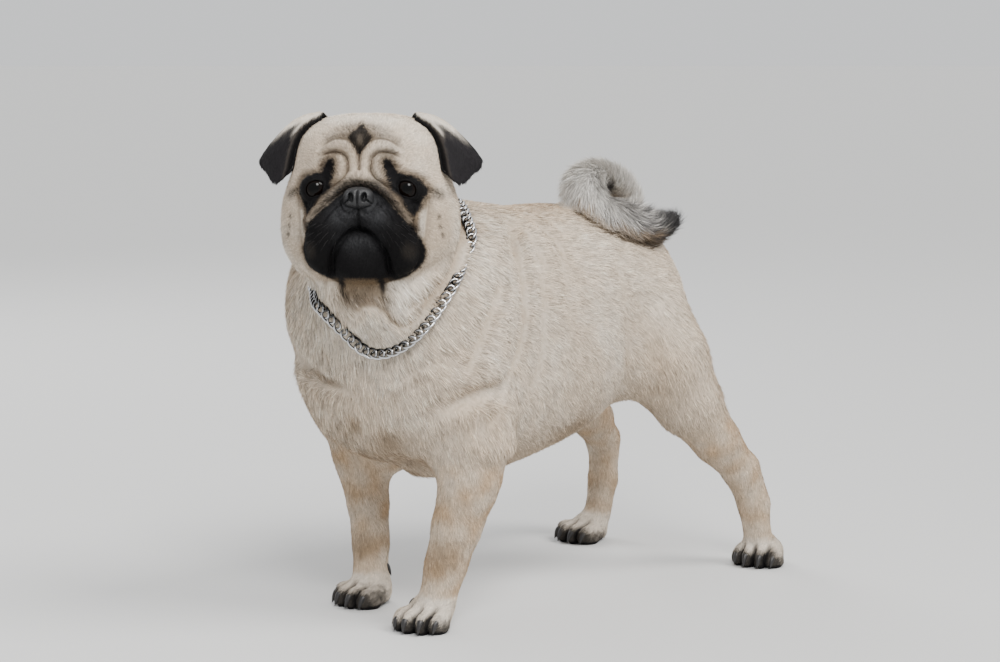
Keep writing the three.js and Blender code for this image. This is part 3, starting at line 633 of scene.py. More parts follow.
def carve_folds(surface, masks):
    """Adds the folds of the face and body and the grooves between the toes; gives the body folds' and toe
    gaps' painted shade.
    """
    h = in_head(surface.points)
    on_face = face_height(h) * masks["head"]
    face = face_plane(h)
    rise = np.zeros(len(h))
    for height, width, _, _, path in FOLDS:
        d = distance_to_path(face, spline(path, 24)) / width
        rise += height * np.exp(-d * d) * on_face * fold_fade(face)
    nose_seat = np.exp(-(h[:, 0] / 15) ** 2 - ((h[:, 2] + 4) / 12) ** 2)
    rise += 3.2 * nose_seat * on_face
    crease_shade = np.zeros(len(h))
    body = in_body(surface.points)
    mirrored = body.copy()
    mirrored[:, 0] = np.abs(body[:, 0])
    # warm is how strong the painted shade in each crease is
    for height, width, warm, both, path in BODY_FOLDS:
        d = distance_to_path(mirrored if both else body, spline(path, 24)) / width
        bump = np.exp(-d * d) * (1 - on_face)
        rise += height * bump
        crease_shade = np.maximum(crease_shade, warm * bump)
    gap_shade = np.zeros(len(h))
    for foot in FEET:
        centre, forward, left, gaps, toes = toe_lines(foot)
        local = (surface.points - centre) / MM
        ahead = local @ forward
        across = local @ left
        near = masks[PAW_OF[foot]] * step(-2, 8, ahead) * step(22, 14, local[:, 2])
        for line in gaps:
            groove = np.exp(-((across - line) / 1.7) ** 2) * near
            rise -= 3.4 * groove
            # the same weight gives the painted shade in the toe gap
            gap_shade = np.maximum(gap_shade, groove)
        for line in toes:
            rise += 0.9 * np.exp(-((across - line) / 3.2) ** 2) * near
    surface.points += surface.normals * rise[:, None] * MM
    surface.find_normals()
    return crease_shade, gap_shade


def eye_ring(h, side):
    """Each point's distance from the middle of an eye's opening, 1 on its edge, and its way from the ball."""
    away = h - EYE_AT * (side, 1, 1)
    slant = away[:, 2] + LIDS_LOW + LIDS_SLANT * away[:, 0] * side
    across = (away[:, 0] * side + LIDS_OUT) / LIDS_WIDE
    return np.hypot(across, slant / np.where(slant > 0, LIDS_UP, LIDS_DOWN)), away


def open_lids(surface):
    """Draws the skin back inside each eyeball's opening and rounds a lid about it."""
    h = in_head(surface.points)
    for side in SIDES.values():
        ring, away = eye_ring(h, side)
        reach = np.linalg.norm(away, axis=1)
        near = (away[:, 1] < 2) & (reach < 18)
        inside = (ring < 1) & near
        lid = (ring >= 1) & (ring < 1.8) & near
        way = unit(away)
        h[inside] = EYE_AT * (side, 1, 1) + way[inside] * (EYE_RADIUS - 2.2)
        settle = step(1.8, 1.2, ring[lid])
        h[lid] += way[lid] * ((EYE_RADIUS + 1.3 - reach[lid]) * settle)[:, None]
    surface.points = from_head(h)
    surface.find_normals()


# By kind of flesh: the coat's depth in millimetres, and how much the solids' facets are smoothed
COAT_DEPTH = {"torso": 1.6, "neck": 1.9, "head": 0.9, "tail": 0.4, "upper": 1.5, "lower": 1.0, "paw": 0.7}
SOFTENING = {"torso": 0.32, "neck": 0.26, "upper": 0.26, "lower": 0.10, "paw": 0.012, "tail": 0.045}
KINDS = {
    "head": "head", "neck": "neck", "torso": "torso", "tail_root": "tail", "tail_curl": "tail",
    "upper_arm": "upper", "thigh": "upper", "forearm": "lower", "shank": "lower",
    "forepaw": "paw", "hindpaw": "paw",
}


def kind_of(name):
    return KINDS.get(name) or KINDS[name.rsplit("_", 1)[0]]


def build_masks(surface, owner):
    """Soft weights of each kind of flesh, and of each paw."""
    masks = {}
    for kind in set(KINDS.values()):
        chosen = np.array([kind_of(FLESH[i]) == kind for i in range(len(FLESH))])
        masks[kind] = surface.smoothed(chosen[owner].astype(float), 9)
    for paw in PAW_OF.values():
        masks[paw] = surface.smoothed((owner == FLESH.index(paw)).astype(float), 3)
    return masks


def weigh(masks, shares):
    """The sum of each kind's mask by its share."""
    return sum(share * masks[kind] for kind, share in shares.items())


def make_skin(voxel):
    """The fused, smoothed, drawn-in and folded skin as a surface with masks, and its mesh."""
    mesh = fuse(FLESH + ["eye_left", "eye_right"], 0.45 * MM, voxel)
    surface = Surface(mesh)
    owner = nearest_nodes(surface.points, FLESH)
    masks = build_masks(surface, owner)
    h = in_head(surface.points)
    behind = step(-24, 4, h[:, 1])
    amount = weigh(masks, SOFTENING) + masks["head"] * (0.014 + 0.12 * behind)
    seams = np.zeros(len(h))
    for inner in (masks["lower"] + masks["paw"], masks["upper"] + masks["lower"] + masks["paw"]):
        share = surface.smoothed(np.clip(inner, 0, 1), 60)
        seams += 4 * share * (1 - share)
    seams = np.clip(1.3 * seams, 0, 1) * np.clip(1 - masks["head"] - masks["tail"] - masks["paw"], 0, 1)
    surface.relax(70, np.clip(amount + 0.45 * seams, 0, 0.65), seams)
    surface.relax(60, 0.6 * seams, seams)
    depth = weigh(masks, COAT_DEPTH)
    sole = step(10 * MM, 3 * MM, surface.points[:, 2])
    surface.points -= surface.normals * (depth * (1 - 0.8 * sole))[:, None] * MM
    surface.write(mesh)
    refine(mesh, front_of_head)
    refine(mesh, front_of_head)
    refine(mesh, on_paws)
    surface = Surface(mesh)
    owner = nearest_nodes(surface.points, FLESH)
    masks = build_masks(surface, owner)
    near_face = masks["head"] * face_height(in_head(surface.points))
    surface.relax(20, 0.5 * near_face + 0.12 * masks["paw"])
    crease_shade, gap_shade = carve_folds(surface, masks)
    surface.relax(3, 0.25 * near_face)
    open_lids(surface)
    surface.points[:, 2] = np.maximum(surface.points[:, 2], 0.0003)
    surface.find_normals()
    surface.write(mesh)
    masks["folds"] = crease_shade
    masks["toe_gaps"] = gap_shade
    return mesh, surface, masks, owner


# Markings with painted shade and sheen, the same for the skin and for the hair that grows from it

def capsule(face, a, b, radius):
    """How far each place lies from a short line, 1 at the radius."""
    return distance_to_path(face, np.array([a, b], float)) / radius


def depth_inside(face, outline):
    """How far each place lies inside a closed outline, negative outside it."""
    outline = np.array(outline, float)
    inside = np.zeros(len(face), bool)
    for a, b in zip(outline, np.roll(outline, -1, 0)):
        if a[1] == b[1]:
            continue
        spans = (a[1] > face[:, 1]) != (b[1] > face[:, 1])
        inside ^= spans & (face[:, 0] < (b[0] - a[0]) * (face[:, 1] - a[1]) / (b[1] - a[1]) + a[0])
    gap = distance_to_path(face, np.vstack([outline, outline[:1]]))
    return np.where(inside, gap, -gap)


def face_mask(h):
    """How black, how brown and how pale the face is at each point of the head's frame, in millimetres."""
    face = face_plane(h)
    x, z = face.T
    wander = ripple(h, 7, 3) * 0.5 + ripple(h, 3, 4) * 0.5
    speck = ripple(h, 2.2, 9)
    shifted = np.column_stack([np.abs(h[:, 0] - MASK_SHIFT * step(-20, -32, z)), z])
    inside = depth_inside(shifted, MASK_OUTLINE)
    muzzle = step(-1.4, 1.3, inside + wander * 0.7)
    above = np.where((z > -24) & (x < 43), -inside, 30)
    roll = step(10.5, 3, above + wander) * step(66, 18, x) * (0.84 + 0.2 * speck)
    sides = step(11, 0.5, above) * (0.5 + 0.32 * speck + 0.1 * wander)
    patch = depth_inside(face, EYE_PATCH)
    haze = 0.5 * step(-5.5, -0.5, patch + 1.2 * speck) * (z > -9)
    eyes = np.maximum(step(-2.0, 1.5, patch + wander * 0.8), haze)
    outer = step(1.4, 0.3, capsule(face, (48, 5), (55, 2.5), 4.4) + wander * 0.1) * (0.62 + 0.4 * speck)
    mark = x / 9.6 + np.abs(z - 43.5) / np.where(z > 43.5, 11.0, 14.0)
    centre = step(3.4, 0.8, x) * step(47, 43, z) * step(33, 37, z)
    thumb = step(1.25, 0.8, mark + wander * 0.1) * (0.96 - 0.12 * centre)
    band = step(1.6, 0.2, distance_to_path(face, np.array(UPPER_BAND, float)) / 4.8 + wander * 0.15)
    band = band * step(35, 8, x) * (0.5 + 0.36 * speck)
    brows = step(19, 5, x) * step(30, 37, z) * step(47, 43, z) * (0.1 + 0.2 * speck)
    lobe = step(1.5, 0.3, np.hypot((x - 13.5) / 5, (z - 22) / 8)) * (0.12 + 0.2 * speck)
    black = np.maximum.reduce([muzzle, roll, sides, eyes, outer, thumb, band, brows, lobe])
    for at in MOLES:
        spot = np.hypot((x - at[0]) / 1.0, (z - at[1]) / 1.9) + 0.5 * speck
        black = np.maximum(black, 0.72 * step(1.7, 0.6, spot))
    brown = np.maximum.reduce([
        0.75 * step(1.5, 0.4, capsule(face, (40.6, -7), (39.4, -23), 2.6)),
        0.55 * step(-5.5, -0.5, patch),
        0.4 * step(-7, -0.5, inside),
        0.4 * step(1.7, 0.8, mark),
        0.3 * step(1.6, 0.6, np.hypot((x - 56) / 10, (z + 28) / 20)),
    ])
    patches = step(1.5, 0.3, np.hypot((x - 36) / 5, (z + 38) / 6.5) + wander * 0.2)
    pale = np.maximum(
        0.75 * step(1.4, 0.5, capsule(face, (44, -9), (42.6, -27), 2.4)),
        0.6 * step(49, 56, z) * step(40, 20, x))
    return black * (1 - 0.03 * patches), brown, pale


def coat_colour(points, normals, masks):
    """The coat's colour over the whole skin, with painted shade in the folds, underneath and about the tail.
    """
    coat = settings("pug_coat")
    fawn, apricot, pale, mask = (np.array(c) for c in (coat.fawn, coat.apricot, coat.pale, coat.mask))
    b = in_body(points)
    fine = ripple(b, 26, 6)
    small = ripple(b, 9, 14)
    colour = np.tile(fawn, (len(points), 1))
    # darker, warmer trunk and thighs where they face down: partly warmer hair, partly painted shade
    under = step(0.25, 0.95, -normals[:, 2]) * (masks["torso"] + masks["upper"] * 0.6)
    chest = masks["neck"] * step(-190, -225, b[:, 1]) * 0.35
    colour = mix(colour, pale, np.clip(0.35 * ripple(b, 90, 5) + 0.2 * fine + chest + 0.15, 0, 0.8))
    colour = wash(colour, apricot * 0.62, 0.62 * under)
    loin = masks["torso"] * step(-40, 60, b[:, 1]) * step(180, 260, b[:, 2])
    back = masks["torso"] * step(0.6, 1.0, normals[:, 2])
    colour = wash(colour, apricot, 0.3 * loin * (0.6 + 0.4 * fine) + 0.3 * back + 0.1 * small)
    legs = masks["lower"] + masks["upper"] * 0.3
    colour = wash(colour, apricot, 0.42 * legs * (1 + fine))
    wrist = masks["lower"] * step(66, 52, b[:, 2]) * step(34, 46, b[:, 2]) * (b[:, 1] < -80)
    colour = wash(colour, apricot * 0.8, 0.35 * wrist * (0.8 + 0.5 * fine))
    for *at, reach, amount in SMUDGES:
        spot = step(1.3, 0.3, np.linalg.norm(b - at, axis=1) / reach + 0.2 * small)
        colour = mix(colour, apricot * 0.5, amount * spot)
    colour = tail_colour(colour, points, normals, masks, apricot, small)
    colour = paw_colour(colour, points, masks, pale, mask, small)
    # painted shade in the creases of the body
    colour = wash(colour, apricot * 0.62, masks["folds"])
    on = np.flatnonzero(masks["head"] > 0.03)
    colour[on] = face_colour(colour[on], in_head(points[on]), masks["head"][on], apricot, pale, mask)
    h = in_head(points)
    # painted shade under the chin
    chin_shadow = step(26, 13, np.abs(h[:, 0])) * step(-57, -60, h[:, 2]) * step(-84, -70, h[:, 2] + 3 * fine)
    chin_shadow = chin_shadow * step(-6, -22, h[:, 1])
    colour = wash(colour, apricot * 0.3, 0.88 * chin_shadow * (masks["head"] + masks["neck"]))
    streak = capsule(face_plane(h), (14.6, -58), (14.9, -70), 3.2)
    streak = streak + 0.35 * small + 0.05 * np.abs(h[:, 2] + 58)
    return mix(colour, mask, step(1.5, 0.4, streak) * step(-8, -24, h[:, 1]) * 0.95)


def curl_middle():
    return np.mean(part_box("tail_curl"), axis=0)


def tail_colour(colour, points, normals, masks, apricot, small):
    """Streaked silver hair, a dark tip, warm hair below; painted shade there, in the hollow and under the
    tail.
    """
    b = in_body(points)
    tail = masks["tail"]
    streaks = ripple(b * (1, 0.35, 1), 5, 16)
    near_strand = step(26, 36, b[:, 0])
    toward_tip = near_strand * step(4, 50, b[:, 1])
    grizzle = tail * np.clip(
        0.05 + 0.14 * small + 0.16 * streaks + toward_tip * (0.52 + 0.45 * streaks), 0, 0.85)
    # painted shade inside the curl's hollow
    hollow = tail * step(23, 17, np.linalg.norm((points - curl_middle()) * (0, 1, 1.15), axis=1) / MM)
    hollow *= step(32, 24, b[:, 0])
    line = distance_to_path(b, spline(TAIL_CREASE, 20))
    # warm hair on the tail's underside, darkened as painted shade where it faces down and meets the back
    root = tail * step(-0.15, -0.7, normals[:, 2]) * 0.92
    root = np.maximum(root * step(12, 24, b[:, 0]), 0.9 * tail * step(15, 8, line + 2 * small))
    tip = tail * step(44, 92, b[:, 1] + 8 * streaks + 5 * small) * near_strand
    # painted shadow on the back along the line under the tail
    crease = step(6.5, 3, line + small) * (masks["torso"] + tail)
    for tone, strength in (
            (SILVER, 0.75 * tail), (apricot * 0.75, root), (DUSK, grizzle), (DUSK * 0.35, 0.97 * tip),
            (DUSK * 0.4, 0.9 * hollow), (apricot * 0.12, 0.95 * crease)):
        colour = wash(colour, tone, strength)
    return colour


def paw_colour(colour, points, masks, pale, mask, small):
    """Pale paws with black soles and fronts as far up as the photograph shows; painted shade between the
    toes.
    """
    for foot in FEET:
        centre, forward, _ = paw_frame(foot)
        local = (points - centre) / MM
        toes = masks[PAW_OF[foot]]
        claws = [node_centre(f"claw_{foot}_{i}") for i in range(1, 5)]
        near = np.min([np.linalg.norm((points - c) / MM, axis=1) for c in claws], axis=0)
        reach = 11.5 if foot == "front_left" else 15
        dark = step(reach, reach - 6, near + 1.6 * small) * toes
        sole = step(6, 2.5, local[:, 2] + small) * toes
        high = 18 if foot == "front_right" else 14
        front = step(high, high - 6, local[:, 2] + 3.2 * small) * step(-14, -4, local @ forward) * toes
        dark = np.maximum(dark, front * (0.86 + 0.14 * small))
        colour = mix(colour, pale * 0.82, 0.6 * toes)
        colour = wash(colour, mask * 1.6, np.maximum(0.93 * dark, sole))
    # painted shade in the gaps between the toes
    return mix(colour, mask * 1.5, np.clip(masks["toe_gaps"] * 1.3, 0, 0.95))


def face_colour(colour, h, head, apricot, pale, mask):
    """Lays the pale, warm and black markings on the face, painted shade in its creases, painted sheen on the
    muzzle.
    """
    front = face_height(h) * step(-80, -70, h[:, 2]) * np.clip(head * 1.5, 0, 1)
    black, brown, light = face_mask(h)
    colour = mix(colour, pale, light * front)
    colour = mix(colour, apricot * 0.55, np.clip(brown, 0, 1) * front)
    # painted shade in the creases of the face
    colour = mix(colour, apricot * 0.16, painted_fold_shade(face_plane(h)) * front)
    sheen_grey = MUZZLE_SHEEN * (1 + 0.5 * ripple(h, 2.5, 15)[:, None])
    across, high = np.abs(h[:, 0]), h[:, 2]
    # painted grey sheen over the black of the upper muzzle, with painted highlights on the upper lips and the
    # top of the chin
    upper = step(-34, -8, high) * step(30, 10, across) * step(13, 5, high)
    upper += 0.5 * step(-24, -29, high) * step(-46, -32, high) * step(22, 12, across)
    upper += 0.9 * np.exp(-((across - 13) / 7) ** 2 - ((high + 12) / 6) ** 2)
    upper += 0.7 * np.exp(-(across / 9) ** 2 - ((high + 31) / 4.5) ** 2)
    black_and_sheen = mix(np.tile(mask, (len(h), 1)), sheen_grey, np.clip(upper, 0, 1.5))
    return mix(colour, black_and_sheen, np.clip(black, 0, 1) * front)


# Hair

def tangent_flow(surface, flow, rounds):
    """Lays a flow along the surface and smooths it."""
    for _ in range(rounds):
        flow = flow - surface.normals * rows_dot(flow, surface.normals)[:, None]
        flow = unit(surface.smoothed(unit(flow), 3, 0.7))
    return unit(flow - surface.normals * rows_dot(flow, surface.normals)[:, None])


def coat_flow(surface, masks):
    """The lie of the hair: back from the nose, along the body to the tail and down the legs."""
    b = in_body(surface.points)
    from_nose = unit(surface.points - from_head(NOSE_AT + (0, 8, 6)))
    low = step(270, 150, b[:, 2])
    body = np.column_stack([np.zeros(len(b)), np.ones(len(b)), -0.25 - 0.75 * low])
    neck = np.column_stack([np.zeros(len(b)), np.full(len(b), 0.8), np.full(len(b), -0.8)])
    leg = np.tile((0.0, 0.3, -1.0), (len(b), 1))
    around = surface.points - curl_middle()
    tail = np.column_stack([np.zeros(len(b)), -around[:, 2], around[:, 1]])
    flow = (
        unit(body) * masks["torso"][:, None] + unit(neck) * masks["neck"][:, None]
        + unit(leg) * (masks["upper"] * 0.8 + masks["lower"])[:, None]
        + unit(body) * (masks["upper"] * 0.5)[:, None]
        + unit(tail) * (masks["tail"] * 1.4)[:, None] + from_nose * masks["head"][:, None]
    )
    for foot in FEET:
        _, forward, _ = paw_frame(foot)
        flow += masks[PAW_OF[foot]][:, None] * unit(forward * 0.9 + np.array((0, 0, -0.5)))
    return tangent_flow(surface, flow, 4)


def scatter(surface, weights, count):
    """count places on the surface, in proportion to weights per point: triangle and corner shares."""
    a, b, c = (surface.points[surface.triangles[:, i]] for i in range(3))
    area = np.linalg.norm(np.cross(b - a, c - a), axis=1)
    chance = area * weights[surface.triangles].mean(1)
    total = np.cumsum(chance)
    picked = np.searchsorted(total, RANDOM.random(count) * total[-1])
    u, v = RANDOM.random((2, count))
    flip = u + v > 1
    u[flip], v[flip] = 1 - u[flip], 1 - v[flip]
    return surface.triangles[np.minimum(picked, len(chance) - 1)], np.column_stack([1 - u - v, u, v])


def at_places(places, values):
    corners, shares = places
    picked = values[corners]
    if values.ndim == 1:
        return (picked * shares).sum(1)
    return np.einsum("ijk,ij->ik", picked, shares)


def hair_mesh(name, hairs, shade_spread):
    """Flat solid spikes: two upper corners, one below them and a tip, four faces each."""
    roots, normals, widths, lifts = (hairs[key] for key in ("root", "normal", "width", "lift"))
    count = len(roots)
    sway = RANDOM.normal(0, 0.15, count)
    ways = unit(hairs["way"] + np.cross(normals, hairs["way"]) * sway[:, None])
    side = unit(np.cross(normals, ways))
    lean = lifts * RANDOM.uniform(0.4, 1.6, count)
    along = unit(ways * np.cos(lean)[:, None] + normals * np.sin(lean)[:, None])
    roll = RANDOM.normal(0, 0.25, count)[:, None]
    across = unit(side * np.cos(roll) + np.cross(along, side) * np.sin(roll)) * (widths / 2)[:, None]
    lengths = hairs["length"] * RANDOM.uniform(0.7, 1.2, count)
    root = roots - normals * (widths * 0.25)[:, None]
    below = root - normals * (widths * 0.6)[:, None]
    points = np.stack([root + across, root - across, below, root + along * lengths[:, None]], 1)
    points[:, :, 2] = np.maximum(points[:, :, 2], 0.0001)
    spike = np.array([(1, 0, 3), (2, 1, 3), (0, 2, 3), (0, 1, 2)])
    faces = (np.arange(count)[:, None, None] * 4 + spike).reshape(-1, 3)
    mesh = mesh_from_arrays(name, points.reshape(-1, 3), faces, smooth=False)
    shade = RANDOM.normal(1, shade_spread, (count, 1)).clip(0.55, 1.4)
    painted = np.empty((count, 4, 3))
    # painted shade at the root, painted light at the tip
    painted[:, :3] = (hairs["colour"] * shade * ROOT_PAINTED_SHADE)[:, None]
    painted[:, 3] = hairs["colour"] * shade * TIP_PAINTED_LIGHT
    paint(mesh, "coat_colour", painted.reshape(-1, 3).clip(0, 1))
    patch = np.array([(-1, -1), (1, -1), (0, -1), (0, 1)]) * HAIR_PATCH
    uv = (hairs["unwrap"][:, None, :] + patch)[:, spike.ravel(), :]
    layer = mesh.uv_layers.new(name="OFBake")
    layer.data.foreach_set("uv", np.ascontiguousarray(uv.reshape(-1, 2), np.float32).ravel())
    return mesh


def skin_unwrap(points, owner):
    """A place for each point on an unwrap of the skin: one turned-open cell for each part of it."""
    columns = 5
    out = np.zeros((len(points), 2))
    for index, name in enumerate(FLESH):
        chosen = owner == index
        if not chosen.any():
            continue
        p = points[chosen]
        low, high = p.min(0), p.max(0)
        centre = (low + high) / 2
        way = int(np.argmax(high - low)) if name != "head" else 2
        rest = [axis for axis in range(3) if axis != way]
        turn = np.arctan2(*(p[:, rest] - centre[rest]).T) / (2 * math.pi) + 0.5
        along = (p[:, way] - low[way]) / max(high[way] - low[way], 1e-9)
        cell = np.array((index % columns, index // columns)) / columns
        out[chosen] = cell + (np.column_stack([turn, along]) * 0.96 + 0.02) / columns
    return out


def hair_traits(surface, masks):
    """Length, half-angle from the skin, width and density of the hair at each point."""
    coat = settings("pug_coat")
    h = in_head(surface.points)
    b = in_body(surface.points)
    face = face_height(h) * masks["head"]
    breech = masks["upper"] * step(70, 120, b[:, 1]) * step(0.2, 0.8, surface.normals[:, 1])
    trunk = masks["torso"] + masks["upper"]
    length = (
        coat.body_hair * trunk + coat.neck_hair * masks["neck"] + coat.tail_hair * masks["tail"]
        + coat.leg_hair * (masks["lower"] + 0.72 * masks["paw"]) + masks["head"] * 0.0058
    )
    length = mix(length, np.full(len(h), coat.face_hair), face)
    muzzle = face * step(16, 4, h[:, 2])
    length *= (1 - 0.25 * muzzle) * (1 + 0.4 * breech)
    inward = unit((curl_middle() - surface.points) * (0, 1, 1))
    hollow = masks["tail"] * step(0.35, 0.85, rows_dot(surface.normals, inward))
    lift = np.radians(
        5.5 + 24 * hollow + 1.5 * masks["neck"] + 11 * masks["tail"] + 2 * masks["head"] + 6 * breech)
    width = 0.0006 * (trunk + masks["neck"]) + 0.00044 * masks["lower"]
    width += 0.00037 * masks["paw"] + 0.00052 * masks["tail"] + 0.00046 * masks["head"]
    width = mix(width, np.full(len(h), 0.00032), face)
    density = trunk + 1.05 * masks["neck"] + 2.0 * masks["lower"] + 2.7 * masks["paw"] + 1.5 * masks["tail"]
    density += masks["head"] * (1.8 + 3.4 * face)
    density *= 1 - 0.75 * np.clip(masks["toe_gaps"], 0, 1)
    opening = np.min([eye_ring(h, s)[0] + 9 * (h[:, 1] > -30) for s in SIDES.values()], axis=0)
    density *= step(1.1, 1.3, opening)
    nose_gap = np.linalg.norm((h - NOSE_AT) / (12.5, 14, 9), axis=1)
    density *= step(0.95, 1.1, nose_gap)
    density *= step(0.002, 0.006, surface.points[:, 2])
    return length, lift, width, density


# Materials

def new_material(name):
    material = bpy.data.materials.new(name)
    material.use_nodes = True
    return material, material.node_tree, material.node_tree.nodes["Principled BSDF"]


def set_sockets(node, **values):
    """Sets plain values on a node's sockets, named with _ for each space."""
    for name, value in values.items():
        node.inputs[name.replace("_", " ")].default_value = value


def join(tree, source, output, target, socket):
    tree.links.new(source.outputs[output], target.inputs[socket])


def on_object(tree, kind, **values):
    """A texture laid out by the piece's own place."""
    place = tree.nodes.new("ShaderNodeTexCoord")
    texture = tree.nodes.new(kind)
    set_sockets(texture, **values)
    join(tree, place, "Object", texture, "Vector")
    return texture


def two_tones(tree, source, colour, dark, light):
    """A ramp by a texture, between two shades of a colour."""
    ramp = tree.nodes.new("ShaderNodeValToRGB")
    for element, shade in zip(ramp.color_ramp.elements, (dark, light)):
        element.color = (*(np.array(colour) * shade), 1)
    join(tree, source, "Fac", ramp, "Fac")
    return ramp


def own_colour(tree, name):
    """The colour or mask that a piece's mesh keeps under a name."""
    own = tree.nodes.new("ShaderNodeAttribute")
    own.attribute_name = name
    return own


def add_relief(tree, shader, source, output, strength, distance):
    relief = tree.nodes.new("ShaderNodeBump")
    set_sockets(relief, Strength=strength, Distance=distance)
    join(tree, source, output, relief, "Height")
    join(tree, relief, "Normal", shader, "Normal")
    return relief


def hair_shade_group():
    """Strand-scale change of a coat's colour and a height for its bump."""
    name = "hair_shade"
    if name in bpy.data.node_groups:
        return bpy.data.node_groups[name]
    group = bpy.data.node_groups.new(name, "ShaderNodeTree")
    for socket, way, kind in (
            ("Colour", "INPUT", "Color"), ("Scale", "INPUT", "Float"), ("Contrast", "INPUT", "Float"),
            ("Colour", "OUTPUT", "Color"), ("Height", "OUTPUT", "Float")):
        group.interface.new_socket(socket, in_out=way, socket_type="NodeSocket" + kind)
    given = group.nodes.new("NodeGroupInput")
    result = group.nodes.new("NodeGroupOutput")
    noise = on_object(group, "ShaderNodeTexNoise", Detail=4)
    join(group, given, "Scale", noise, "Scale")
    centred = group.nodes.new("ShaderNodeMath")
    centred.operation = "SUBTRACT"
    centred.inputs[1].default_value = 0.5
    join(group, noise, "Fac", centred, 0)
    spread = group.nodes.new("ShaderNodeMath")
    spread.operation = "MULTIPLY_ADD"
    spread.inputs[2].default_value = 1
    join(group, centred, 0, spread, 0)
    join(group, given, "Contrast", spread, 1)
    tinted = group.nodes.new("ShaderNodeVectorMath")
    tinted.operation = "SCALE"
    join(group, given, "Colour", tinted, 0)
    join(group, spread, 0, tinted, "Scale")
    join(group, tinted, 0, result, "Colour")
    join(group, noise, "Fac", result, "Height")
    return group


def coat_material(name, scale, contrast, roughness, sheen, bump):
    """A finish whose colour is the coat's markings with their painted shade and sheen."""
    material, tree, shader = new_material(name)
    shade = tree.nodes.new("ShaderNodeGroup")
    shade.node_tree = hair_shade_group()
    set_sockets(shade, Scale=scale, Contrast=contrast)
    join(tree, own_colour(tree, "coat_colour"), "Color", shade, "Colour")
    join(tree, shade, "Colour", shader, "Base Color")
    set_sockets(shader, Roughness=roughness, Specular_IOR_Level=0.1, Sheen_Weight=sheen, Sheen_Roughness=0.4)
    if bump:
        add_relief(tree, shader, shade, "Height", bump, 0.0006)
    return material


def wet_leather(name, colour, pebble, roughness, coat, bump, gloss=0.5):
    """Bare skin, such as the nose and the lids: pebbled and moist."""
    material, tree, shader = new_material(name)
    cells = on_object(tree, "ShaderNodeTexVoronoi", Scale=pebble)
    cloud = on_object(tree, "ShaderNodeTexNoise", Scale=pebble * 0.2)
    join(tree, two_tones(tree, cloud, colour, 0.55, 1.9), "Color", shader, "Base Color")
    set_sockets(shader, Roughness=roughness, Specular_IOR_Level=gloss, Coat_Weight=coat, Coat_Roughness=0.15)
    add_relief(tree, shader, cells, "Distance", bump, 0.0004).invert = True
    return material


def eye_material():
    """The colours of the eye run by the distance from its pole, kept on the mesh."""
    material, tree, shader = new_material("eye_wet")
    join(tree, own_colour(tree, "eye_colour"), "Color", shader, "Base Color")
    set_sockets(shader, Roughness=0.05, IOR=1.34, Specular_IOR_Level=0.24)
    return material


def horn_material(name, colour, grain, roughness):
    """Horn or stiff hair with fine streaks of lighter and darker colour."""
    material, tree, shader = new_material(name)
    streaks = on_object(tree, "ShaderNodeTexNoise", Scale=grain)
    join(tree, two_tones(tree, streaks, colour, 0.5, 2.6), "Color", shader, "Base Color")
    set_sockets(shader, Roughness=roughness)
    return material


def steel_material():
    """Steel, rubbed uneven, with a painted reflection along the wires and painted shade between the links."""
    material, tree, shader = new_material("chain_steel")
    wear_and_painted_gleam = on_object(tree, "ShaderNodeTexNoise", Scale=350)
    rough = tree.nodes.new("ShaderNodeMapRange")
    set_sockets(rough, To_Min=0.12, To_Max=0.32)
    join(tree, wear_and_painted_gleam, "Fac", rough, "Value")
    join(tree, rough, "Result", shader, "Roughness")
    steel = np.array(settings("pug_collar").steel)
    worn_and_shaded = tree.nodes.new("ShaderNodeMix")
    worn_and_shaded.data_type = "RGBA"
    # near-black painted shade on the wires' flanks and between the links
    worn_and_shaded.inputs["A"].default_value = (*(steel * 0.035), 1)
    join(tree, own_colour(tree, "gleam_and_shade"), "Fac", worn_and_shaded, "Factor")
    join(tree, two_tones(tree, wear_and_painted_gleam, steel, 0.6, 1), "Color", worn_and_shaded, "B")
    join(tree, worn_and_shaded, "Result", shader, "Base Color")
    set_sockets(shader, Metallic=1)
    return material


def plain_material(name, colour, roughness):
    material, _, shader = new_material(name)
    set_sockets(shader, Base_Color=(*colour, 1), Roughness=roughness)
    return material


# Shared between the operators: the skin and where it came from
SKIN = {}


class PUG_OT_skin(bpy.types.Operator):
    """Fuses the flesh into one skin, draws it in by the coat's depth and carves its folds"""

    bl_idname = "pug.skin"
    bl_label = "Skin"

    def execute(self, context):
        mesh, surface, masks, owner = make_skin(settings("pug_coat").skin_voxel)
        press_chain(surface)
        surface.write(mesh)
        colour = coat_colour(surface.points, surface.normals, masks)
        mesh.name = "skin"
        smooth_faces(mesh)
        paint(mesh, "coat_colour", colour * chain_shade(surface.points)[:, None] * 0.8)
        skin = piece("skin", mesh, coat_material("coat_skin", 420, 0.7, 0.8, 0, 0.5))
        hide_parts(*FLESH)
        SKIN.update(surface=surface, masks=masks, owner=owner)
        return {"FINISHED"}


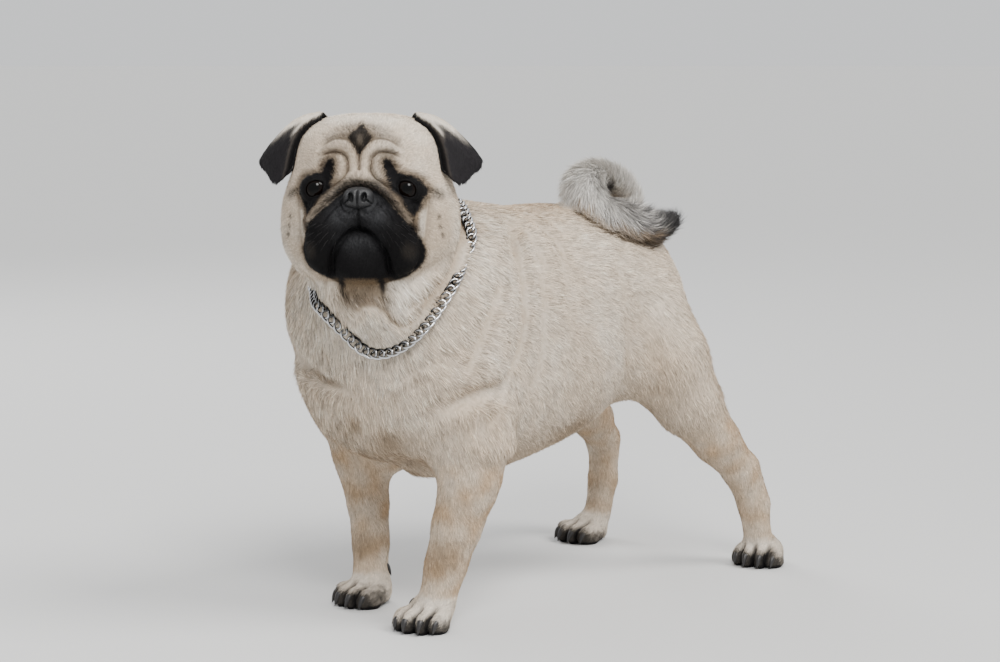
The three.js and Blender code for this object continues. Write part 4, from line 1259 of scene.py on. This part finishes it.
class PUG_OT_coat(bpy.types.Operator):
    """Lays the hair over the skin, in pieces for each part of the body"""

    bl_idname = "pug.coat"
    bl_label = "Coat"

    def execute(self, context):
        surface, masks = SKIN["surface"], SKIN["masks"]
        flow = coat_flow(surface, masks)
        length, lift, width, density = hair_traits(surface, masks)
        count = settings("pug_coat").hairs // 1
        places = scatter(surface, density, count)
        roots = at_places(places, surface.points)
        normals = unit(at_places(places, surface.normals))
        ways = at_places(places, flow)
        side = np.cross(normals, ways)
        b = in_body(roots)
        drift = ripple(b, 15, 21) * 0.18 + ripple(b, 45, 22) * 0.14
        ways = unit(ways + side * drift[:, None])
        root_masks = {name: at_places(places, mask) for name, mask in masks.items()}
        stray = RANDOM.normal(0, 0.8 * MM, roots.shape) * (1 + root_masks["torso"])[:, None]
        colour = coat_colour(roots + stray, normals, root_masks)
        trunk = root_masks["torso"] + root_masks["neck"] + root_masks["upper"]
        chest = (root_masks["neck"] + root_masks["torso"]) * step(-150, -205, b[:, 1])
        lock = 1 + (0.07 + 0.12 * trunk + 0.16 * chest) * ripple(b, 4, 24)
        lock = lock + (0.08 + 0.08 * chest) * ripple(b, 11, 25)
        lock += 0.16 * root_masks["head"] * ripple(b, 2.6, 26)
        colour *= lock[:, None] * chain_shade(roots)[:, None]
        owner = SKIN["owner"][places[0][:, 0]]
        hairs = {
            "root": roots, "normal": normals, "way": ways, "colour": colour,
            "unwrap": skin_unwrap(roots, owner),
            "length": at_places(places, length), "width": at_places(places, width),
            "lift": at_places(places, lift) * (1 + 0.35 * ripple(b, 9, 23)),
        }
        material = coat_material("coat_hair", 900, 0.3, 0.6, 0.0, 0)
        groups = {}
        for index, name in enumerate(FLESH):
            kind = kind_of(name)
            label = kind if kind in ("head", "neck", "torso", "tail") else f"{kind}_{name.rsplit('_', 1)[1]}"
            groups.setdefault(label, []).append(index)
        for label, members in groups.items():
            chosen = np.flatnonzero(np.isin(owner, members))
            parts = int(np.ceil(len(chosen) / HAIRS_A_PIECE))
            for number, part in enumerate(np.array_split(chosen, parts)):
                name = f"coat_{label}" + (f"_{number + 1}" if parts > 1 else "")
                taken = {key: values[part] for key, values in hairs.items()}
                mesh = hair_mesh(name, taken, 0.3 if label == "head" else 0.26)
                coat = piece(name, mesh, material)
        return {"FINISHED"}


EAR_FOLD = [(34, 64), (38.5, 59.2), (46, 54), (51.5, 47.5), (55.2, 40), (57.6, 31.5), (59.3, 23), (61, 15),
            (62, 6)]


def ear_fold_side(h):
    """How far each point of an ear lies outside the fold along its front, negative towards the head."""
    face = h[:, [0, 2]]
    line = spline(EAR_FOLD, 40)
    fold_x = np.interp(-face[:, 1], -line[:, 1], line[:, 0])
    return np.sign(face[:, 0] - fold_x) * distance_to_path(face, line)


def ear_colours(surface, side):
    """Black velvet flaps with grey-fawn hair on the folded crest, fading to the tip; painted shade beside the
    head.
    """
    coat = settings("pug_coat")
    h = in_head(surface.points) * (side, 1, 1)
    outside = ear_fold_side(h)
    front = surface.normals @ -HEAD_AXES[1]
    up = surface.normals @ HEAD_AXES[2]
    grain = ripple(h, 4, 31) * 0.8 + ripple(h, 10, 32) * 0.8
    crest = step(0.2, 2.4, outside + 0.4 * grain) * step(13, 6, outside + grain)
    crest = crest * step(60, 42, h[:, 0] + 3 * grain)
    crest = 0.5 * crest * step(-0.3, 0.25, front) * step(5.5, 2.5, outside + 0.5 * grain)
    top = step(0.28, 0.6, up) * step(76, 60, h[:, 0] + grain)
    edge = np.exp(-((outside - 0.9) / 0.9) ** 2) * step(0, 0.4, front) * 0.08
    flap = np.array(coat.mask) * 3.4 * (1 + 0.1 * grain[:, None])
    # painted shade on the strip between the fold and the head
    inner = step(0.6, -0.8, outside) * step(0.0, 0.3, front)
    colour = mix(flap, np.array(coat.mask) * 0.9, inner)
    colour = wash(colour, np.array(coat.fawn) * (0.72, 0.74, 0.76), crest)
    colour = mix(colour, np.array(coat.pale) * 1.05, 0.95 * top * (1 - inner))
    return wash(colour, np.array(coat.fawn) * 0.6, edge)


class PUG_OT_ears(bpy.types.Operator):
    """Makes each ear as a soft folded leaf with velvet hair on both faces"""

    bl_idname = "pug.ears"
    bl_label = "Ears"

    def execute(self, context):
        count = EAR_HAIRS // 1
        skin = coat_material("ear_skin", 700, 0.5, 0.8, 0.1, 0.4)
        hair = coat_material("ear_hair", 900, 0.3, 0.6, 0.08, 0)
        for side_name, side in SIDES.items():
            mesh = fuse([f"ear_{side_name}"], 0.1 * MM, 0.001)
            surface = Surface(mesh)
            surface.relax(24, 0.4)
            surface.points -= surface.normals * 0.4 * MM
            surface.find_normals()
            h = in_head(surface.points) * (side, 1, 1)
            outside = ear_fold_side(h)
            front = step(0.0, 0.5, surface.normals @ -HEAD_AXES[1])
            relief = 0.9 * np.exp(-((outside - 1.4) / 1.6) ** 2) - 1.6 * step(0.3, -1.6, outside)
            low = step(60, 48, h[:, 2])
            surface.points += surface.normals * (relief * front * low)[:, None] * MM
            h = in_head(surface.points) * (side, 1, 1)
            centre = np.array((0, 4, -5.0))
            root = step(5.5, 1.5, self.skin_gap(surface.points))
            h += unit(centre - h) * (root * 3.2)[:, None]
            surface.points = from_head(h * (side, 1, 1))
            surface.relax(3, 0.3)
            surface.write(mesh)
            mesh.name = f"ear_{side_name}_leaf"
            smooth_faces(mesh)
            colour = ear_colours(surface, side)
            paint(mesh, "coat_colour", colour * 0.85)
            leaf = piece(f"ear_{side_name}_leaf", mesh, skin)
            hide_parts(f"ear_{side_name}")
            down = unit(HEAD_AXES.T @ np.array((side * 0.35, -0.25, -0.9)))
            flow = tangent_flow(surface, np.tile(down, (len(surface.points), 1)), 3)
            places = scatter(surface, np.ones(len(surface.points)), count)
            roots = at_places(places, surface.points)
            low, high = roots.min(0), roots.max(0)
            unwrap = (roots[:, 1:] - low[1:]) / (high - low)[1:] * (0.45, 0.9) + (0.02, 0.02)
            normals = unit(at_places(places, surface.normals))
            unwrap[:, 0] += 0.5 * (normals[:, 1] > 0)
            hairs = {
                "root": roots, "normal": normals, "way": at_places(places, flow),
                "colour": at_places(places, colour), "unwrap": unwrap,
                "length": np.full(count, 0.003), "width": np.full(count, 0.0004),
                "lift": np.full(count, math.radians(5)),
            }
            mesh = hair_mesh(f"coat_ear_{side_name}", hairs, 0.08)
            coat = piece(f"coat_ear_{side_name}", mesh, hair)
        return {"FINISHED"}

    def skin_gap(self, points):
        """How far each point lies from the skin, in millimetres."""
        surface = SKIN["surface"]
        near = surface.points[SKIN["masks"]["head"] > 0.5]
        low, high = points.min(0) - 0.02, points.max(0) + 0.02
        near = near[((near > low) & (near < high)).all(1)]
        gaps = [np.linalg.norm(near - p, axis=1).min() for p in points]
        return np.array(gaps) / MM


class PUG_OT_eyes(bpy.types.Operator):
    """Sets the wet eyeballs with their dark iris, the rims of the lids and the wet line on the lower lid"""

    bl_idname = "pug.eyes"
    bl_label = "Eyes"

    def execute(self, context):
        head = settings("pug_head")
        ball = eye_material()
        rim = wet_leather("lid_rim", (0.003, 0.0026, 0.0026), 1500, 0.8, 0, 0.2, 0.12)
        wet = wet_leather("lid_water", (0.05, 0.042, 0.04), 1800, 0.3, 0.1, 0.1)
        for side_name, side in SIDES.items():
            eye = EYE_AT * (side, 1, 1)
            gaze = unit(np.array((side * 0.06, -1.0, 0.03)))
            points, faces = self.globe()
            right = unit(np.cross(gaze, (0, 0, 1)))
            up = np.cross(right, gaze)
            placed = points @ np.array([right, up, gaze])
            mesh = mesh_from_arrays(f"eyeball_{side_name}", from_head(eye + placed), faces)
            paint(mesh, "eye_colour", self.colours(points, np.array(head.iris)))
            globe = piece(f"eyeball_{side_name}", mesh, ball)
            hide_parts(f"eye_{side_name}")
            angles = np.linspace(0, 2 * math.pi, 96, endpoint=False)
            name = f"lid_rim_{side_name}"
            path = self.lid_line(angles, side, 1.0, 0.45)
            thick = head.lid * (1.1 + 0.3 * np.sin(angles))
            points, quads = tube(from_head(eye + path), thick, 10, closed=True)
            lid = piece(name, mesh_from_arrays(name, points, quads), rim)
            angles = np.linspace(1.12 * math.pi, 1.86 * math.pi, 60)
            name = f"lid_water_{side_name}"
            path = self.lid_line(angles, side, 1.12, 0.95)
            taper = 0.42 * MM * np.sin(np.linspace(0.08, math.pi - 0.08, 60)) ** 0.6
            points, quads = tube(from_head(eye + path), taper, 8)
            water = piece(name, mesh_from_arrays(name, points, quads), wet)
        return {"FINISHED"}

    def lid_line(self, angles, side, size, proud):
        """A line round the eye's opening, laid on the eyeball, about the eyeball's own middle."""
        x = LIDS_WIDE * size * np.cos(angles) - LIDS_OUT
        high = np.where(np.sin(angles) > 0, LIDS_UP, LIDS_DOWN)
        z = np.sin(angles) * high * size - LIDS_LOW - LIDS_SLANT * x
        y = -np.sqrt(np.maximum((EYE_RADIUS + proud) ** 2 - x ** 2 - z ** 2, 1))
        return np.column_stack([x * side, y, z])

    def globe(self, around=64, down=40):
        """An eyeball about +Z, with the cornea standing a little proud."""
        p, a, quads = ball_grid(around, down)
        radius = EYE_RADIUS * (1 - 0.035 + 0.035 * np.exp(-(p / 0.62) ** 4))
        wide = radius * np.sin(p)
        points = np.stack([wide * np.cos(a), wide * np.sin(a), radius * np.cos(p)], -1)
        return points.reshape(-1, 3), quads

    def colours(self, points, iris):
        """Dark white, rim, rayed iris and pupil by the distance over the ball from its pole."""
        reach = np.arccos(np.clip(points[:, 2] / np.linalg.norm(points, axis=1), -1, 1)) * EYE_RADIUS
        angle = np.arctan2(points[:, 1], points[:, 0])
        rays = 0.5 + 0.5 * np.sin(angle * 37 + 2 * np.sin(angle * 11))
        colour = np.tile(EYE_WHITE, (len(points), 1))
        colour = mix(colour, EYE_RIM, step(9.2, 8.2, reach))
        colour = mix(colour, iris * 0.6, step(7.8, 6.8, reach))
        colour = mix(colour, iris * 1.6, step(7.2, 4.4, reach) * (0.35 + 0.5 * rays))
        return mix(colour, PUPIL, step(4.4, 3.8, reach))


class PUG_OT_nose(bpy.types.Operator):
    """Makes the nose leather with its comma-shaped nostrils and the groove below"""

    bl_idname = "pug.nose"
    bl_label = "Nose"

    def execute(self, context):
        p, a, quads = ball_grid(180, 120)
        way = np.stack([np.sin(p) * np.cos(a), -np.cos(p), np.sin(p) * np.sin(a)], -1).reshape(-1, 3)
        squared = np.abs(way) / np.array((11.0, 8.0, 7.8))
        points = way / (squared ** 2.4).sum(1, keepdims=True) ** (1 / 2.4)
        x, z = np.abs(points[:, 0]), points[:, 2]
        front = step(-0.5, -4, points[:, 1])
        hole = np.exp(-(np.hypot((x - 4.7 - 0.12 * z) / 1.75, (z - 0.2) / 2.9)) ** 4)
        slit_z = -1.0 - 0.07 * (x - 4) ** 2
        slit = np.exp(-((z - slit_z) / 0.75) ** 2) * step(4, 6, x) * step(11.2, 9.4, x)
        groove = np.exp(-(x / 0.6) ** 2) * step(6.5, 3, z)
        lobe = np.exp(-(np.hypot((x - 2.2) / 1.3, (z + 0.5) / 4)) ** 2)
        wing = np.exp(-(np.hypot((x - 8.2) / 2.2, (z - 1.6) / 2.4)) ** 2)
        brow = np.exp(-(np.hypot((x - 3.5) / 4, (z - 5.2) / 1.8)) ** 2)
        inward = 5.0 * np.maximum(hole, 0.5 * slit) + 1.3 * groove - 0.8 * lobe - 1.0 * wing - 0.6 * brow
        points[:, 1] += front * inward
        points[:, 2] -= 1.2 * step(4, 11, x) * step(2, -3, z)
        material = wet_leather("nose_leather", settings("pug_head").nose, 1500, 0.5, 0.03, 0.5)
        mesh = mesh_from_arrays("nose_leather", from_head(points + NOSE_AT + (0, 0.4, 0)), quads)
        nose = piece("nose_leather", mesh, material)
        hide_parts("nose")
        return {"FINISHED"}


class PUG_OT_claws(bpy.types.Operator):
    """Grows a curved black claw in place of each solid one, and the dewclaws inside the wrists"""

    bl_idname = "pug.claws"
    bl_label = "Claws"

    def execute(self, context):
        material = horn_material("claw_horn", settings("pug_head").horn, 900, 0.42)
        skin = SKIN["surface"].points
        for foot in FEET:
            centre, forward, left = paw_frame(foot)
            claws = Tubes()
            for i in range(1, 5):
                p = node_points(f"claw_{foot}_{i}")
                middle = p.mean(0)
                axis = np.linalg.svd(p - middle)[2][0]
                axis *= np.sign(axis @ forward)
                ends = (p - middle) @ axis
                root = middle + axis * (ends.min() - 4 * MM)
                tip = middle + axis * ends.max()
                self.claw(claws, root, tip, 2.5 * MM, 1.2 * MM)
            if "front" in foot:
                inner, high = DEWCLAWS[foot]
                inner = unit(inner)
                beside = centre + inner * 26 * MM - forward * 9 * MM + np.array((0, 0, high * MM))
                root = skin[np.argmin(np.linalg.norm(skin - beside, axis=1))]
                tip = root + (inner * 3.8 + forward * 1.5 + np.array((0, 0, -8.5))) * MM
                self.claw(claws, root - inner * 1.5 * MM, tip, 2.1 * MM, 1.6 * MM)
            name = f"claws_{foot}"
            claws = piece(name, claws.mesh(name), material)
            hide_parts(*[f"claw_{foot}_{i}" for i in range(1, 5)])
        return {"FINISHED"}

    def claw(self, claws, root, tip, thick, bend):
        """Adds one curved tapering claw."""
        way = np.linspace(0, 1, 14)[:, None]
        path = root + (tip - root) * way + np.sin(way * math.pi) * np.array((0, 0, bend))
        claws.add(path, thick * (1 - way[:, 0] ** 2) + 0.2 * MM, 12)


class PUG_OT_whiskers(bpy.types.Operator):
    """Plants the short stiff whiskers on the lips and cheeks"""

    bl_idname = "pug.whiskers"
    bl_label = "Whiskers"

    def execute(self, context):
        surface = SKIN["surface"]
        h = in_head(surface.points)
        hairs = Tubes()
        for side in SIDES.values():
            for i in range(WHISKERS):
                row, place = divmod(i, 5)
                x = side * (17 + 4.6 * place + RANDOM.uniform(-1, 1))
                z = -19 - 6 * row + RANDOM.uniform(-1, 1)
                if row == 3:
                    x, z = side * 56, -20
                near = np.hypot(h[:, 0] - x, h[:, 2] - z) + 1e3 * (h[:, 1] > -10)
                root = int(np.argmin(near))
                way = unit(surface.normals[root] + 0.9 * HEAD_AXES[0] * side - 0.5 * HEAD_AXES[2])
                length = RANDOM.uniform(6, 12) * MM
                t = np.linspace(0, 1, 7)[:, None]
                sag = -HEAD_AXES[2] * (t * t) * length * 0.25
                path = surface.points[root] + way * t * length + sag
                hairs.add(path, 0.085 * MM * (1.15 - t[:, 0]), 4)
        material = horn_material("whisker", (0.008, 0.007, 0.007), 1600, 0.5)
        whiskers = piece("whiskers", hairs.mesh("whiskers"), material)
        return {"FINISHED"}


def chain_path(count):
    """The chain's closed centre line, read from the solid chain by its turn about the neck."""
    p = node_points("collar_chain")
    centre = p.mean(0)
    normal = np.linalg.svd(p - centre, full_matrices=False)[2][2]
    a = unit(np.cross(normal, (0, 1, 0.2)))
    b = np.cross(normal, a)
    turn = np.arctan2((p - centre) @ b, (p - centre) @ a)
    bins = 72
    line = []
    for k in range(bins):
        middle = -math.pi + (k + 0.5) * 2 * math.pi / bins
        apart = np.abs((turn - middle + math.pi) % (2 * math.pi) - math.pi)
        weight = np.exp(-(apart / 0.07) ** 2)
        line.append((p * weight[:, None]).sum(0) / weight.sum())
    line = np.array(line)
    dense = spline(np.vstack([line[-3:], line, line[:4]]), CHAIN_STEPS)
    turn = np.arange(CHAIN_STEPS) / CHAIN_STEPS * (bins + 6)
    dense = dense[(turn >= 3) & (turn < bins + 3)]
    lengths = np.concatenate([[0], np.cumsum(np.linalg.norm(np.diff(dense, axis=0), axis=1))])
    marks = np.linspace(0, lengths[-1], count, endpoint=False)
    line = np.column_stack([np.interp(marks, lengths, dense[:, i]) for i in range(3)])
    front = step(-190, -240, in_body(line)[:, 1])
    return line - np.array((0, 0, 3.2 * MM)) * front[:, None]


def chain_gap(points, path):
    """How far each point lies from the closed line of the chain, in millimetres."""
    return distance_to_path(points, np.vstack([path, path[:1]])) / MM


def press_chain(surface):
    """Presses a shallow bed into the skin where the chain lies."""
    gap = chain_gap(surface.points, chain_path(160))
    surface.points -= surface.normals * (1.6 * np.exp(-(gap / 6.5) ** 2))[:, None] * MM
    surface.find_normals()


def chain_shade(points):
    """How much darker the coat is in the chain's shade."""
    gap = chain_gap(points, chain_path(120))
    return 1 - 0.8 * np.exp(-(gap / 3.8) ** 2) - 0.12 * np.exp(-(gap / 8) ** 2)


class PUG_OT_collar(bpy.types.Operator):
    """Threads the curb chain round the neck, link by link"""

    bl_idname = "pug.collar"
    bl_label = "Chain collar"

    def execute(self, context):
        collar = settings("pug_collar")
        path, ways = self.settle(chain_path(CHAIN_LINKS), collar.wire)
        pitch = np.linalg.norm(path[1] - path[0])
        half = pitch / 2 + collar.wire * 2.4
        tangents = unit(np.roll(path, -1, 0) - np.roll(path, 1, 0))
        angles = np.linspace(0, 2 * math.pi, 32, endpoint=False)
        links, wear_and_painted_gleam = Tubes(), []
        for at, tangent, way in zip(path, tangents, ways):
            out = unit(way - tangent * (way @ tangent))
            across = np.cross(out, tangent)
            turned_across = unit(across * math.cos(LINK_TWIST) + out * math.sin(LINK_TWIST))
            turned_out = np.cross(tangent, turned_across)
            ring = (
                at + np.cos(angles)[:, None] * tangent * half
                + np.sin(angles)[:, None] * turned_across * collar.link_width
                + np.sin(2 * angles)[:, None] * turned_out * collar.wire * 0.9
            )
            points = links.add(ring, collar.wire, 12, closed=True)
            raised = (points - np.repeat(ring, 12, axis=0)) @ out / collar.wire
            level = (points - at) @ out / collar.wire
            # painted light: 1 as a painted reflection on each wire's side away from the skin, down to 0 as
            # painted shade on its flanks
            wear_and_painted_gleam.append(step(0.15, 0.95, raised) * step(-1.8, 0.8, level))
        mesh = links.mesh("chain_collar")
        paint(mesh, "gleam_and_shade", np.repeat(np.concatenate(wear_and_painted_gleam)[:, None], 3, axis=1))
        chain = piece("chain_collar", mesh, steel_material())
        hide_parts("collar_chain")
        return {"FINISHED"}

    def settle(self, path, wire):
        """Lays the line of the chain on the coat, and under the roll of the neck where that hides it."""
        surface = SKIN["surface"]
        beside = distance_to_path(surface.points, np.vstack([path, path[:1]])) < 0.03
        near, ways = surface.points[beside], surface.normals[beside]
        out, leans = np.empty_like(path), np.empty_like(path)
        for i, p in enumerate(path):
            nearest = np.argsort(np.linalg.norm(near - p, axis=1))[:12]
            base, way = near[nearest].mean(0), unit(ways[nearest].mean(0))
            b = in_body(p)
            hidden = max(math.exp(-(np.linalg.norm(b - at) / size) ** 4) for *at, size in CHAIN_HIDDEN)
            height = 2.6 * MM + wire * 0.6 - 7.5 * MM * hidden
            out[i] = p + way * (height - (p - base) @ way)
            leans[i] = way
        for line in (out, leans):
            for _ in range(2):
                line[:] = 0.5 * line + 0.25 * (np.roll(line, 1, 0) + np.roll(line, -1, 0))
        return out, leans


class PUG_OT_stage(bpy.types.Operator):
    """Lays the pale floor, the soft studio light and the camera at the photograph's angle"""

    bl_idname = "pug.stage"
    bl_label = "Stage"

    def execute(self, context):
        stage = settings("pug_stage")
        scene = context.scene
        around = np.linspace(0, 2 * math.pi, FLOOR_SIDES, endpoint=False)
        rim = np.column_stack([np.cos(around), np.sin(around), np.zeros(FLOOR_SIDES)]) * FLOOR_REACH
        points = np.vstack([(0, 0, 0), rim])
        faces = [(0, i + 1, (i + 1) % FLOOR_SIDES + 1) for i in range(FLOOR_SIDES)]
        mesh = mesh_from_arrays("floor", points, np.array(faces))
        floor = bpy.data.objects.new("floor", mesh)
        scene.collection.objects.link(floor)
        mesh.materials.append(plain_material("pale_floor", stage.floor, 0.85))
        scene.world = bpy.data.worlds.new("studio")
        scene.world.use_nodes = True
        set_sockets(scene.world.node_tree.nodes["Background"], Color=(0.97, 0.985, 1.0, 1), Strength=0.92)
        sun = self.light("sun", "SUN", 2.6, (1.0, 0.985, 0.955))
        sun.data.angle = 0.5
        sun.rotation_euler = Vector(SUN_FROM).to_track_quat("Z", "Y").to_euler()
        for name, (place, size, power, colour) in LAMPS.items():
            lamp = self.light(name, "AREA", power, colour)
            lamp.data.size = size
            lamp.location = place
            lamp.rotation_euler = (Vector((0, 0, 0.2)) - lamp.location).to_track_quat("-Z", "Y").to_euler()
        camera = bpy.data.objects.new("camera", bpy.data.cameras.new("camera"))
        scene.collection.objects.link(camera)
        camera.data.lens = stage.focal_length
        camera.data.sensor_width = 36
        camera.location = from_body(CAMERA_AT)
        camera.rotation_euler = (math.radians(90 - CAMERA_DOWN), 0, math.radians(CAMERA_ROUND))
        scene.camera = camera
        return {"FINISHED"}

    def light(self, name, kind, power, colour):
        light = bpy.data.lights.new(name, kind)
        light.energy = power
        light.color = colour
        obj = bpy.data.objects.new(name, light)
        bpy.context.scene.collection.objects.link(obj)
        return obj


PIECES = (
    PUG_OT_skin, PUG_OT_coat, PUG_OT_ears, PUG_OT_eyes, PUG_OT_nose, PUG_OT_claws, PUG_OT_whiskers,
    PUG_OT_collar, PUG_OT_stage,
)
GROUPS = {
    "pug_coat": PugCoatSettings, "pug_head": PugHeadSettings,
    "pug_collar": PugCollarSettings, "pug_stage": PugStageSettings,
}


class PUG_PT_panel(bpy.types.Panel):
    """Lists the pieces of the pug and their settings"""

    bl_idname = "PUG_PT_panel"
    bl_label = "Pug"
    bl_space_type = "VIEW_3D"
    bl_region_type = "UI"
    bl_category = "Pug"

    def draw(self, context):
        for operator in PIECES:
            self.layout.operator(operator.bl_idname)
        for group, kind in GROUPS.items():
            box = self.layout.box()
            for name in kind.__annotations__:
                box.prop(getattr(context.scene, group), name)


def register():
    for kind in (*GROUPS.values(), *PIECES, PUG_PT_panel):
        bpy.utils.register_class(kind)
    for group, kind in GROUPS.items():
        setattr(bpy.types.Scene, group, bpy.props.PointerProperty(type=kind))


def unregister():
    for group in GROUPS:
        delattr(bpy.types.Scene, group)
    for kind in reversed((*GROUPS.values(), *PIECES, PUG_PT_panel)):
        bpy.utils.unregister_class(kind)


def main():
    """Makes every piece in order."""
    register()
    bpy.ops.pug.skin()
    bpy.ops.pug.coat()
    bpy.ops.pug.ears()
    bpy.ops.pug.eyes()
    bpy.ops.pug.nose()
    bpy.ops.pug.claws()
    bpy.ops.pug.whiskers()
    bpy.ops.pug.collar()
    bpy.ops.pug.stage()


if __name__ == "__main__":
    main()
